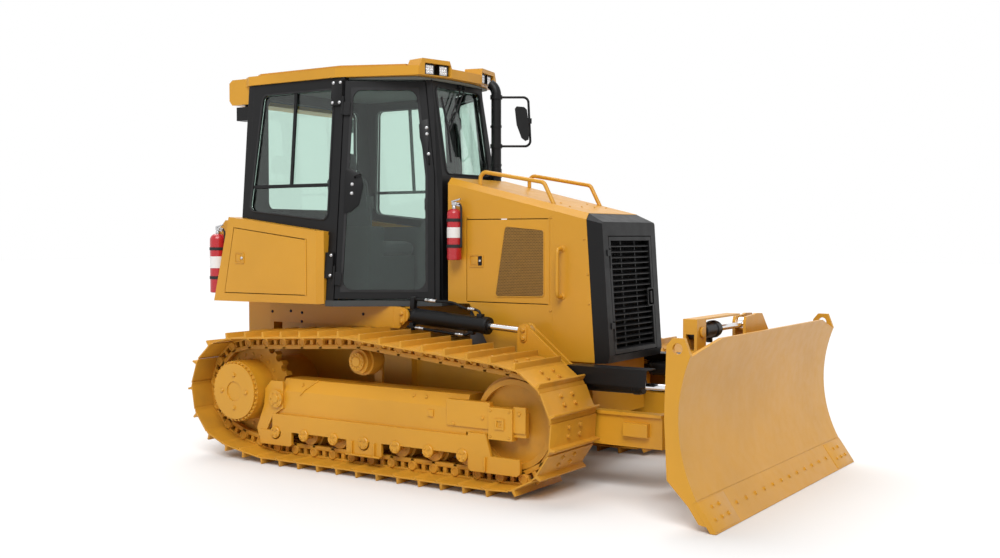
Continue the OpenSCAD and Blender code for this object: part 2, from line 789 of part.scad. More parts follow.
// Window panel and door post
module cab_sides() {
    bar = 24;
    bar_t = 14;
    sill_z = 813;
    divider_x = cab_x0 + 472;
    color(BLACK) both_sides() door_hinge_place() for (z = hinge_heights)
        translate([0, 0, z + hinge_h + gap]) {
            cylinder(r = hinge_r, h = 40);
            translate([-44, -4, 0]) cube([44, 18, 40]);
        }
    color(BLACK) both_sides() intersection() {
        side_place() {
            plate_xz(wall_t) difference() {
                polygon([[cab_x0 + wall_t, box_top(cab_x0) - floor_z - 20], [cab_x0 + wall_t, 1700],
                    [post_x + post_w, 1700], [post_x + post_w, -60], [post_x, -60],
                    [post_x, box_top(post_x) - floor_z - 20]]);
                side_window_outline(0);
            }
            translate([cab_x0 + wall_t + 25, 1, sill_z - bar / 2])
                cube([post_x - cab_x0 - wall_t - 40, bar_t, bar]);
            translate([divider_x - bar / 2, 1, sill_z]) cube([bar, bar_t, window_top - sill_z + 5]);
        }
        difference() {
            between(floor_z + gap, roof_z - gap);
            translate([0, -big / 2, 0]) plate_xz(big) polygon([[cab_x0 - 200, 900],
                [cab_x0 - 200, box_top(cab_x0 - 200) + gap], [post_x - door_gap, box_top(post_x) + gap],
                [post_x - door_gap, 900]]);
        }
    }
}

// Opening of a side window in the side's frame, with its sill along the box and its rear edge leaning
module side_window_outline(inset) {
    r = 50;
    edge = r + inset;
    hull() for (p = [[cab_x0 + 76 + edge, 634 + edge], [cab_x0 + 150 + edge, window_top - edge],
        [post_x - 20 - edge, window_top - edge], [post_x - 20 - edge, 560 + edge]])
        translate(p) circle(r = r, $fn = 32);
}

module side_windows() {
    color(GLASS) both_sides() side_place() translate([0, 16, 0]) plate_xz(glass_t) side_window_outline(gap);
}

module cab_front() {
    color(BLACK) {
        translate([cab_x1 - wall_t, -front_half, floor_z + gap])
            cube([wall_t, 2 * front_half, screen_z - floor_z - gap]);
        intersection() {
            translate([cab_x1, 0, screen_z]) rotate([0, -screen_lean, 0]) translate([-wall_t, 0, 0])
                plate_yz(wall_t) difference() {
                    polygon([[-front_half, -40], [front_half, -40], [front_half - 30, 900],
                        [-front_half + 30, 900]]);
                    screen_outline(0);
                }
            between(screen_z - 1, roof_z - gap);
        }
        both_sides() intersection() {
            door_place() translate([door_w, 0, 0]) plate_xz(40) polygon([[door_gap, -40], [36, -40],
                [39, 870], [-30, 1700], [-64, 1700], [-58, 1540], [door_gap, 870]]);
            between(floor_z + gap, roof_z - gap);
        }
    }
}

// Opening of the windscreen, up along its lean
module screen_outline(inset) {
    half = front_half - 55 - inset;
    round_rect([-half, 12 + inset], [half, 640 - inset], 40);
}

module windscreen() {
    color(GLASS) translate([cab_x1, 0, screen_z]) rotate([0, -screen_lean, 0])
        translate([-wall_t + 20, 0, 0]) plate_yz(glass_t) screen_outline(gap);
}

module cab_rear() {
    sill = box_top(cab_x0) + gap;
    side_y = box_in - gap;
    top_half = cab_half - tan(tumble) * (roof_z - floor_z);
    sill_half = cab_half - tan(tumble) * (box_top(cab_x0) - floor_z);
    color(BLACK) translate([cab_x0, 0, 0]) plate_yz(wall_t - gap) difference() {
        polygon([[-side_y, floor_z + gap], [-side_y, sill], [-sill_half, sill], [-top_half, roof_z - gap],
            [top_half, roof_z - gap], [sill_half, sill], [side_y, sill], [side_y, floor_z + gap]]);
        rear_window_outline(0);
    }
}

module rear_window() {
    color(GLASS) translate([cab_x0 + 20, 0, 0]) plate_yz(glass_t)
        rear_window_outline(gap);
}

module rear_window_outline(inset) {
    half = rear_half - 120 - inset;
    round_rect([-half, 1780 + inset], [half, 2600 - inset], 60);
}

module cab_roof() {
    right = [[cab_x0 - 60, -rear_half], [cab_x0 + 10, 6 - roof_half], [post_x, -roof_half], roof_corner,
        roof_nose];
    left = [for (i = [len(right) - 1 : -1 : 0]) [right[i][0], -right[i][1]]];
    edge = concat(right, [[cab_x1 - 14, 0]], left);
    crown = [for (p = edge) [min(-500, -1000 + (p[0] + 1000) * 0.93), p[1] * 0.9]];
    lip = 3;
    color(YELLOW) difference() {
        union() {
            translate([0, 0, roof_z]) linear_extrude(roof_t) polygon(edge);
            translate([0, 0, roof_z + roof_t - 1]) linear_extrude(26) polygon(crown);
            both_sides() lamp_place() translate([0, -lip, 0]) plate_xz(pod_d) polygon([[4, lip],
                [4, roof_t - 8], [34, roof_t + 52], [pod_len - 28, roof_t + 52], [pod_len - 4, roof_t - 8],
                [pod_len - 4, lip]]);
            plate_xz_centred(2 * rear_half - 2 * lip) rear_unit_outline();
        }
        both_sides() lamp_place() translate([56, -10, lamp_z]) cube([236, recess_d + 10, lamp_h + 4]);
    }
}

// Frame of the roof's front edge: x along the edge, y inward
module lamp_place() {
    translate([roof_corner[0], roof_corner[1], roof_z]) rotate([0, 0, pod_turn]) children();
}

// Unit that hangs behind the roof's rear edge
module rear_unit_outline() {
    top = roof_z + roof_t - 4;
    translate([cab_x0, 0]) polygon([[-243, unit_z + 34], [-215, unit_z], [-6, unit_z], [-6, roof_z + 20],
        [-40, top], [-210, top], [-243, top - 24]]);
}

// Door frame with its window cut, in the door's own frame
module door_outline(inset) {
    polygon([[inset, 12 + inset], [door_w - inset, 12 + inset], [door_w - inset, 870],
        [door_w - 64 - inset, 1540 - inset], [78 + inset, 1540 - inset]]);
}

module door_frame() {
    difference() {
        door_place() plate_xz(40) difference() {
            door_outline(0);
            door_outline(52);
        }
        side_place() translate([post_x, -200, -200]) cube([post_w + door_gap, 500, 2200]);
    }
}

module cab_door_right() {
    color(BLACK) {
        door_frame();
        door_hinge_place() for (z = hinge_heights) translate([0, 0, z]) {
            cylinder(r = hinge_r, h = hinge_h);
            rotate([0, 0, door_turn]) translate([7.5, -5, 0]) cube([45.5, 21.5, hinge_h]);
        }
    }
}

// Line that a cab door turns about: just outside the door post's front corner
module door_hinge_place() {
    side_place() translate([post_x + post_w + door_gap, -hinge_r - 3, 0]) children();
}

module cab_door_left() {
    mirror([0, 1, 0]) cab_door_right();
}

module door_glass_right() {
    color(GLASS) door_place() translate([0, 14, 0]) plate_xz(glass_t) door_outline(52 + gap);
}

module door_glass_left() {
    mirror([0, 1, 0]) door_glass_right();
}

// Operator's station

module seat_base() {
    color(BLACK) {
        translate([-1420, -230, floor_z + gap]) cube([480, 460, 300]);
        for (s = [-1, 1]) scale([1, s, 1]) translate([-1400, 270, floor_z + gap]) cube([560, 170, 520]);
    }
}

module seat_cushion() {
    color(BLACK) translate([-1400, -240, floor_z + 300 + 2 * gap]) cube([500, 480, 110]);
}

module seat_back() {
    color(BLACK) translate([-1345, 0, floor_z + 410 + 3 * gap]) rotate([0, -8, 0]) {
        translate([-60, -230, 7.7]) cube([110, 460, 520]);
        translate([-50, -130, 520]) cube([90, 260, 190]);
    }
}

module controls() {
    color(BLACK) {
        translate([0, 0, floor_z + gap]) plate_xz_centred(2 * front_half - 80) polygon([[-490, 0], [-520, 400],
            [-470, 560], [-380, 620], [-320, 620], [-320, 0]]);
        for (s = [-1, 1]) scale([1, s, 1]) translate([-900, 350, floor_z + 520 + 2 * gap]) {
            cylinder(r = 16, h = 130);
            translate([0, 0, 130]) cylinder(r = 26, h = 90);
        }
    }
}

// Outside fittings

module exhaust_stack() {
    foot_z = belly_z + 490 + gap;
    bend_z = 2620;
    bend_r = 90;
    color(BLACK) stack_place() {
        translate([0, 0, foot_z]) cylinder(r = stack_r, h = bend_z - foot_z);
        translate([0, 0, screen_z + 6]) cylinder(r = stack_r + 4, h = 66);
        translate([-bend_r, 0, bend_z]) rotate([90, 0, 0]) rotate_extrude(angle = 60)
            translate([bend_r, 0]) circle(r = stack_r);
    }
}

module stack_place() {
    translate([(hood_x0 + cab_x1) / 2, 287, 0]) children();
}

module handrails() {
    rear_x0 = 52;
    front_x0 = 560;
    foot_x = 650;
    rail_y = hood_half - hood_bevel - 24;
    path = [[rear_x0, hood_top(rear_x0) - 20], [rear_x0, hood_top(rear_x0) + 92],
        [front_x0, hood_top(front_x0) + 124], [foot_x, hood_top(foot_x) - 25]];
    color(YELLOW) difference() {
        both_sides() translate([0, -rail_y, 0]) bent_rod(path, 14, 45);
        hood_envelope(-gap);
    }
}

module door_mirror() {
    tube_r = 9;
    low = 2243;
    high = 2603;
    root = stack_r + 4;
    head_t = 36;
    color(BLACK) stack_place() rotate([0, 0, 33]) {
        bent_rod([[root, low], [254, low], [236, high], [root, high]], tube_r, 40);
        for (z = [low, high]) translate([0, 0, z - 15]) difference() {
            cylinder(r = stack_r + 8, h = 30);
            translate([0, 0, -1]) cylinder(r = stack_r + gap, h = 32);
        }
        translate([0, -tube_r - head_t - 2, 0]) plate_xz(head_t) mirror_head_outline();
        translate([222, -tube_r - 6, 2410]) cube([40, 2 * tube_r + 12, 38]);
    }
}

// Housing of the mirror, broad at its top
module mirror_head_outline() {
    polygon([[137, 2515], [150, 2532], [205, 2528], [226, 2508], [246, 2350], [238, 2290], [215, 2280],
        [186, 2302], [150, 2400]]);
}

module work_lamps() {
    front = 12;
    rear_lamp = [120, 90, 100];
    stem_h = 20;
    color(BLACK) both_sides() {
        lamp_place() for (s = [112, 238]) translate([s - lamp_w / 2, front, lamp_z + gap]) difference() {
            cube([lamp_w, recess_d - front - gap, lamp_h]);
            translate([6, -1, 6]) cube([lamp_w - 12, 9, lamp_h - 12]);
        }
        translate([cab_x0 - 100, 40 - rear_half, unit_z - stem_h - gap]) {
            cylinder(r = 12, h = stem_h);
            translate([-rear_lamp[0] / 2, -rear_lamp[1] / 2, -rear_lamp[2]]) cube(rear_lamp + [0, 0, 1]);
        }
    }
}

module extinguishers() {
    color(RED) {
        translate([-75, -hood_half - 56, 1440]) cylinder(r = 50, h = 460);
        for (z = [1500, 1780]) translate([-95, -hood_half - 40, z]) cube([40, 40 - gap, 30]);
        for (z = [1210, 1560]) translate([-2115, -box_in - 40, z]) cube([40, 40, 30]);
        translate([-2095, -box_in - 66, 1150]) cylinder(r = 62, h = 520);
    }
}

// Boxes beside the cab

module box_outline() {
    front = post_x - door_gap;
    polygon([[-1990, 1100], [-1830, box_top(-1830)], [front, box_top(post_x)], [front, 1104]]);
}

module box_opening(inset) {
    rear_x0 = -1780 + inset;
    front_x0 = -1060 - inset;
    low = 1160 + inset;
    polygon([[-1880 + inset, low], [rear_x0, box_top(-1780) - 70 - inset],
        [front_x0, box_top(-1060) - 70 - inset], [front_x0, low]]);
}

module side_boxes() {
    front = post_x - door_gap;
    corner = 40;
    color(YELLOW) both_sides() difference() {
        translate([0, -box_out, 0]) plate_xz(box_out - box_in) box_outline();
        translate([0, -box_out - 1, 0]) plate_xz(61) box_opening(0);
        translate([0, -box_out + 30, 0]) plate_xz(box_out - box_in - 60) box_opening(-30);
        translate([0, 0, deck_z - 10]) linear_extrude(1000) polygon([[front - corner - 1, -box_out - 1],
            [front + 1, -box_out - 1], [front + 1, -box_out + corner + 1]]);
    }
}

module box_door_right() {
    pin_h = box_top(-1063) - 70 - 1160 - 2 * gap;
    color(YELLOW) {
        translate([0, -box_out, 0]) plate_xz(24) box_opening(door_gap);
        translate([-1060 - door_gap - 5, -box_out + 2, 1160 + gap]) cylinder(r = 8, h = pin_h);
    }
}

module box_door_left() {
    mirror([0, 1, 0]) box_door_right();
}

module rear_tank() {
    x0 = rear_x + 30;
    x1 = cab_x0 - gap;
    low = deck_z + 12;
    high = low + 600;
    bevel = 60;
    color(YELLOW) {
        plate_xz_centred(2 * box_in - 2 * gap) polygon([[x0, low], [x0, high - bevel], [x0 + bevel, high],
            [x1, high], [x1, low]]);
        translate([rear_x + 120, -case_half, belly_z + 500 + gap])
            cube([cab_x0 - gap - rear_x - 120, 2 * case_half, deck_z - belly_z - 487]);
    }
}

module engine_door_right() {
    color(YELLOW) {
        translate([0, -hood_half, 0]) plate_xz(hood_t) square_at([door_x0, door_z0], [door_x1, door_z1]);
        translate([door_x1 - 4, -hood_half + hood_t / 2, door_z0 - door_gap + gap])
            cylinder(r = 8, h = door_z1 - door_z0 + 2 * door_gap - 2 * gap);
    }
}

module engine_door_left() {
    mirror([0, 1, 0]) engine_door_right();
}

// Lift frame, carrier and blade

module c_frame() {
    color(YELLOW) {
        difference() {
            union() {
                for (s = [-1, 1]) scale([1, s, 1]) translate([0, arm_in, 0]) plate_xz(arm_out - arm_in)
                    lift_arm_outline();
                translate([0, 0, arm_z0]) linear_extrude(arm_z1 - arm_z0) front_beam_outline();
                translate([angle_x, 0, arm_z0]) cylinder(r = nose_r, h = arm_z1 - arm_z0);
                for (s = [-1, 1]) scale([1, s, 1]) {
                    for (z = [-ear_off - ear_t, ear_off])
                        translate([0, 0, angle_cyl_z + z]) linear_extrude(ear_t) angle_bracket_outline();
                    translate([angle_cyl_x - 84, arm_in - 20, arm_z1 - 1])
                        cube([30, arm_out - arm_in + 20, angle_cyl_z + ear_off + ear_t - arm_z1 + 1]);
                    translate([angle_cyl_x - 84, arm_in, arm_z1 - 1])
                        cube([124, arm_out - arm_in, angle_cyl_z - ear_off - ear_t - arm_z1 + 2]);
                    translate([tower_x, lift_y - ear_off - ear_t, 0]) tower_plate();
                    translate([tower_x, lift_y + ear_off, 0]) tower_plate();
                    translate([angle_cyl_x + 200, arm_in, arm_z1 - 1])
                        cube([arm_x1 - angle_cyl_x - 200, arm_out - arm_in + 15, 20]);
                    translate([arm_x1 - 250, arm_out - 1, arm_z0 + 70]) cube([166, 37, 82]);
                }
            }
            translate([angle_x, 0, arm_z0 - 1]) cylinder(r = angle_r + run, h = arm_z1 - arm_z0 + 2);
            translate([trunnion_x, 0, trunnion_z]) rod_y(trunnion_r + run, -big / 2, big / 2);
        }
        for (s = [-1, 1]) scale([1, s, 1]) translate([angle_cyl_x, angle_cyl_y, angle_cyl_z - ear_off - 1])
            cylinder(r = 22, h = 2 * ear_off + 2);
    }
}

module lift_arm_outline() {
    translate([trunnion_x, trunnion_z]) circle(r = 92);
    polygon([[trunnion_x, trunnion_z + 85], [trunnion_x + 300, arm_z1], [arm_x1, arm_z1], [arm_x1, arm_z0],
        [trunnion_x + 300, arm_z0], [trunnion_x, trunnion_z - 85]]);
}

// Beam that joins the arms in front of the radiator
module front_beam_outline() {
    half = [[arm_x1 - 140, arm_in + 1], [arm_x1 - 1, arm_out], [angle_x, nose_r]];
    polygon(concat([for (p = half) [p[0], -p[1]]], [for (i = [2 : -1 : 0]) half[i]],
        [[arm_x1 - 80, 300], [arm_x1 - 50, 0], [arm_x1 - 80, -300]]));
}

module tower_plate() {
    front = angle_cyl_x - tower_x;
    plate_xz(ear_t) polygon(concat([[-60, arm_z1 - 10], [-50, tower_z]],
        [for (a = [180 : -20 : 20]) [50 * cos(a), tower_z + 50 * sin(a)]],
        [[front, tower_front_z], [front, tower_low_z], [front - 84, tower_low_z],
            [front - 84, arm_z1 - 10]]));
}

// Covers over the angle cylinders, set against the front edges of the towers
module cylinder_guards() {
    x0 = angle_cyl_x + gap;
    x1 = angle_cyl_x + angle_len + 60;
    top = tower_front_z + 8;
    outer = lift_y + ear_off + ear_t + 6;
    inner = arm_in - 42;
    sheet = 8;
    color(BLACK) both_sides() {
        translate([x0, -outer, top - sheet]) cube([x1 - x0, outer - inner, sheet]);
        translate([x0, -outer, tower_low_z]) cube([12, outer - inner, top - tower_low_z]);
        translate([0, -outer, 0]) plate_xz(sheet) polygon([[x0, top], [x0, tower_low_z],
            [x0 + 60, angle_cyl_z + 5], [x1 - 10, angle_cyl_z], [x1, top]]);
    }
}

module angle_bracket_outline() {
    polygon([[angle_cyl_x - 80, arm_in - 30], [angle_cyl_x - 80, arm_out], [angle_cyl_x + 40, arm_out],
        [angle_cyl_x + 45, angle_cyl_y], [angle_cyl_x + 30, arm_in - 30]]);
}

// Swings on the angle post and carries the blade's tilt pin and the tilt cylinder
module blade_carrier() {
    front = column_x + 60;
    rear = angle_eye_x - 45;
    clevis_y = angle_eye_y + 52;
    color(YELLOW) {
        translate([angle_x, 0, arm_z0 - 41]) cylinder(r = angle_r, h = arm_z1 - arm_z0 + 60);
        translate([angle_x, 0, arm_z0 - 42]) cylinder(r = nose_r, h = 40);
        translate([angle_x, 0, arm_z1 + side_gap]) cylinder(r = nose_r, h = 110);
        translate([angle_x, -120, arm_z0 - 42]) cube([front - angle_x, 240, 36]);
        translate([angle_x, -120, arm_z1 + 6]) cube([front - angle_x, 240, 106]);
        translate([column_x, -120, arm_z0 - 42]) cube([60, 240, tilt_cyl_z - 60 - arm_z0]);
        translate([front - 1, 0, tilt_z]) rotate([0, 90, 0]) cylinder(r = tilt_pin_r, h = 90);
        for (z = [-ear_off - ear_t, ear_off]) translate([0, 0, angle_cyl_z + z]) linear_extrude(ear_t)
            polygon([[rear, -clevis_y], [angle_eye_x + 45, -clevis_y], [front, -200], [front, 200],
                [angle_eye_x + 45, clevis_y], [rear, clevis_y], [rear, angle_eye_y - 70],
                [angle_x, 130], [angle_x, -130], [rear, -angle_eye_y + 70]]);
        for (x = [-ear_off - ear_t, ear_off]) translate([tilt_cyl_x + x, -tilt_rod_y, tilt_cyl_z])
            plate_yz(ear_t) tilt_ear_outline();
        translate([front - 1, -tilt_rod_y - 65, tilt_cyl_z - 200])
            cube([tilt_cyl_x + ear_off + ear_t - front, tilt_rod_y + 245, 60]);
    }
}

// Ear beside the tilt rod's eye, with its origin at the eye
module tilt_ear_outline() {
    polygon([[-65, -200], [-65, 20], [-50, 50], [90, 56], [110, 62], [210, 58], [330, -60], [330, -200]]);
}

// Blade

// Sheet between two radii about the centre of the hollow, from the cutting edge to the head
module sheet_section() {
    reach = 2 * blade_r;
    intersection() {
        difference() {
            translate(hollow_c) circle(r = blade_r + blade_t, $fn = 180);
            translate(hollow_c) circle(r = blade_r, $fn = 180);
        }
        polygon([hollow_c, hollow_c + reach * dir(head_a), hollow_c + reach * dir((head_a + edge_a) / 2),
            hollow_c + reach * dir(edge_a - 0.05)]);
    }
}

// Point beside the cutting edge: s up along it, t back from its face
function edge_point(s, t) = [blade_x, 0] + s * edge_dir + t * [-edge_dir[1], edge_dir[0]];

module edge_section() {
    polygon([[blade_x, 0], edge_point(edge_len, 0), edge_point(edge_len, edge_t),
        [blade_x - edge_t / edge_dir[1], 0]]);
}

module end_section() {
    back_h = edge_t + gap;
    difference() {
        translate([blade_x, 0]) polygon([[-99, 64], [-289, 258], [-306, 600], [-294, blade_h - 22],
            [-259, blade_h + 20], [-189, blade_h + 20], [-150, blade_corner_h], [0, blade_corner_h],
            [0, 64]]);
        translate(hollow_c) circle(r = blade_r, $fn = 180);
        polygon([edge_point(-200, -200), edge_point(edge_len + gap, -200), edge_point(edge_len + gap, back_h),
            edge_point(-200, back_h)]);
        translate([blade_x - 229, blade_h - 37]) circle(r = eye_r);
    }
}

module blade() {
    stiff_x = tilt_cyl_x + 20;
    end_t = 26;
    color(YELLOW) difference() {
        union() {
            intersection() {
                across_blade(blade_half) {
                    sheet_section();
                    polygon([edge_point(60, edge_t + gap), edge_point(edge_len + 12, edge_t + gap),
                        edge_point(edge_len + 60, 60), edge_point(90, 60)]);
                }
                translate([stiff_x - 200, 0, 0]) plate_yz(blade_x - stiff_x + 300) blade_front_outline();
            }
            across_blade(blade_half - end_t + 1) difference() {
                polygon([[stiff_x, 320], [stiff_x, 560], [stiff_x + 100, 600], [stiff_x + 120, 280]]);
                translate(hollow_c) circle(r = blade_r + blade_t / 2, $fn = 180);
            }
            both_sides() translate([0, -blade_half, 0]) plate_xz(end_t) end_section();
            translate([column_x + 63, 0, tilt_z]) rotate([0, 90, 0])
                cylinder(r = tilt_pin_r + 45, h = stiff_x + 10 - column_x - 63);
            tilt_lugs();
        }
        translate([column_x + 50, 0, tilt_z]) rotate([0, 90, 0]) cylinder(r = tilt_pin_r + run, h = 104);
    }
}

// Lugs for the tilt cylinder's barrel pin, with the cover over the cylinder
module tilt_lugs() {
    low = blade_h - 162;
    rear = tilt_cyl_x - ear_off - ear_t;
    width = 2 * (ear_off + ear_t);
    cover_z = tilt_cyl_z + tilt_cyl_r + 20;
    cover_len = tilt_pin_y - tilt_rod_y - 160;
    for (x = [-ear_off - ear_t, ear_off]) translate([tilt_cyl_x + x, -tilt_pin_y, 0]) plate_yz(ear_t)
        polygon([[-lug_half, low], [-lug_half, cover_z + 1], [lug_half, cover_z + 1], [lug_half, low]]);
    translate([0, -tilt_pin_y - lug_half, 0]) plate_xz(2 * lug_half) difference() {
        translate([rear, low]) square([180, 90]);
        translate(hollow_c) circle(r = blade_r + blade_t / 2, $fn = 180);
    }
    translate([rear, -tilt_pin_y - lug_half, cover_z]) cube([width, cover_len + lug_half, 10]);
    translate([rear, -tilt_pin_y - lug_half, tilt_cyl_z - 10]) cube([width, 10, cover_z - tilt_cyl_z + 11]);
    translate([tilt_cyl_x - ear_off - 1, -tilt_pin_y, tilt_cyl_z]) rotate([0, 90, 0])
        cylinder(r = tilt_pin_bore, h = 2 * ear_off + 2);
}

// A section in x and z, drawn across the blade
module across_blade(half) {
    translate([0, -half, 0]) plate_xz(2 * half) children();
}

module blade_front_outline() {
    shoulder = blade_half - blade_slope;
    polygon([[-blade_half, 0], [-blade_half, blade_corner_h], [-shoulder, blade_h], [shoulder, blade_h],
        [blade_half, blade_corner_h], [blade_half, 0]]);
}

module cutting_edge() {
    color(YELLOW) across_blade(blade_half) edge_section();
}

// Cylinders

// Barrel along +X from its pin at the origin, with a pin hole across
module barrel(r, length, pin_radius) {
    difference() {
        union() {
            rod_y(44, -eye_t / 2, eye_t / 2);
            translate([20, -eye_t / 2, -36]) cube([64, eye_t, 72]);
            translate([76, 0, 0]) rotate([0, 90, 0]) cylinder(r = r, h = length - 76);
        }
        rod_y(pin_radius + run, -eye_t, eye_t);
        translate([bore_start, 0, 0]) rotate([0, 90, 0]) cylinder(r = rod_r(r) + run, h = length);
    }
}

function rod_r(r) = round(r * 0.4);

// Rod along +X that starts inside the barrel and ends in an eye at reach
module rod(r, shaft, reach) {
    translate([reach - shaft, 0, 0]) rotate([0, 90, 0]) cylinder(r = rod_r(r), h = shaft - 30);
    translate([reach, 0, 0]) rod_y(44, -eye_t / 2, eye_t / 2);
}

module lift_cylinder_place() {
    translate([lift_x, -lift_y, lift_z]) rotate([0, lift_tilt, 0]) children();
}

module lift_barrel_right() {
    color(BLACK) lift_cylinder_place() barrel(lift_r, lift_len, 24);
}

module lift_barrel_left() {
    mirror([0, 1, 0]) lift_barrel_right();
}

module lift_rod_right() {
    color(STEEL) lift_cylinder_place() rod(lift_r, 680, lift_reach);
}

module lift_rod_left() {
    mirror([0, 1, 0]) lift_rod_right();
}

module angle_cylinder_place() {
    translate([angle_cyl_x, -angle_cyl_y, angle_cyl_z]) rotate([0, 0, angle_turn]) rotate([90, 0, 0])
        children();
}

module angle_barrel_right() {
    color(BLACK) angle_cylinder_place() barrel(angle_cyl_r, angle_len, 22);
}

module angle_barrel_left() {
    mirror([0, 1, 0]) angle_barrel_right();
}

module angle_rod_right() {
    color(STEEL) angle_cylinder_place() rod(angle_cyl_r, 505, angle_reach);
}

module angle_rod_left() {
    mirror([0, 1, 0]) angle_rod_right();
}

module tilt_cylinder_place() {
    translate([tilt_cyl_x, -tilt_pin_y, tilt_cyl_z]) rotate([0, 0, 90]) children();
}

module tilt_barrel() {
    color(BLACK) tilt_cylinder_place() barrel(tilt_cyl_r, tilt_len, tilt_pin_bore);
}

module tilt_rod() {
    color(STEEL) tilt_cylinder_place() rod(tilt_cyl_r, 570, tilt_pin_y - tilt_rod_y);
}

main_frame();
final_drives();
track_right();
track_left();
sprockets();
idlers();
track_rollers();
roller_frames();
engine_block();
hood();
radiator_guard();
grille_surround();
radiator_core();
cab_floor();
cab_sides();
cab_front();
cab_rear();
cab_roof();
windscreen();
side_windows();
rear_window();
seat_base();
seat_cushion();
seat_back();
controls();
exhaust_stack();
handrails();
door_mirror();
work_lamps();
extinguishers();
side_boxes();
rear_tank();
cab_door_right();
cab_door_left();
door_glass_right();
door_glass_left();
engine_door_right();
engine_door_left();
grille_door();
box_door_right();
box_door_left();
c_frame();
blade_carrier();
blade();
cutting_edge();
lift_barrel_right();
lift_barrel_left();
lift_rod_right();
lift_rod_left();
angle_barrel_right();
angle_barrel_left();
angle_rod_right();
angle_rod_left();
cylinder_guards();
tilt_barrel();
tilt_rod();
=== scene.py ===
"""Dresses the crawler bulldozer: finishes, track chains, fittings, cab interior and a plain studio."""

import json
import logging
import math
from dataclasses import dataclass, field
from enum import Enum

import bmesh
import bpy
from mathutils import Euler, Matrix, Vector

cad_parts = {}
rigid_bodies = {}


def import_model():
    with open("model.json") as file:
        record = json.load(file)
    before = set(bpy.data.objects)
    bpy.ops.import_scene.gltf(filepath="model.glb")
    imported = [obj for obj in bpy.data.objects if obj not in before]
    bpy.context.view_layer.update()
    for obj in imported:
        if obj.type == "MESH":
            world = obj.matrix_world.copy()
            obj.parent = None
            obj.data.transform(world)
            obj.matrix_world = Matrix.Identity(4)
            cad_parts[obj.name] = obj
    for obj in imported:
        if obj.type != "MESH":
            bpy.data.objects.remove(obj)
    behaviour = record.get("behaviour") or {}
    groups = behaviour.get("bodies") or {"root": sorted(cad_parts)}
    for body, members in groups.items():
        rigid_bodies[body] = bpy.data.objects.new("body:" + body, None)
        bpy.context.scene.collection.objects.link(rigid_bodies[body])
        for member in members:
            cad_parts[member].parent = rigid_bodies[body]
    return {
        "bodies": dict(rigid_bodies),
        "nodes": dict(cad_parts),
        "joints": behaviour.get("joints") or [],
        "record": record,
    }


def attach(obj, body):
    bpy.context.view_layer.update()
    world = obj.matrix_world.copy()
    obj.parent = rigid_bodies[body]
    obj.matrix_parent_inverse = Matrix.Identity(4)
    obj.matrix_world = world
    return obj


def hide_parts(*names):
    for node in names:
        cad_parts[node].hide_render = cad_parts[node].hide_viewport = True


LOG = logging.getLogger("bulldozer")
MM = 0.001
SHARP = math.radians(35)
Flat = tuple[float, float]
Point = tuple[float, float, float]
Colour = Point
Box = tuple[float, float, float, float]


class Side(Enum):
    """Side of the machine, as the sign of its Y."""

    RIGHT = -1
    LEFT = 1

    @property
    def word(self) -> str:
        """The side's name in piece and body names."""
        return self.name.lower()


class Slot(Enum):
    """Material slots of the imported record."""

    YELLOW = "paint_yellow"
    BLACK = "paint_black"
    CHROME = "rod_chrome"
    GLASS = "glass_tint"
    RED = "paint_red"
    METAL = "engine_metal"
    SEAT = "seat_cover"


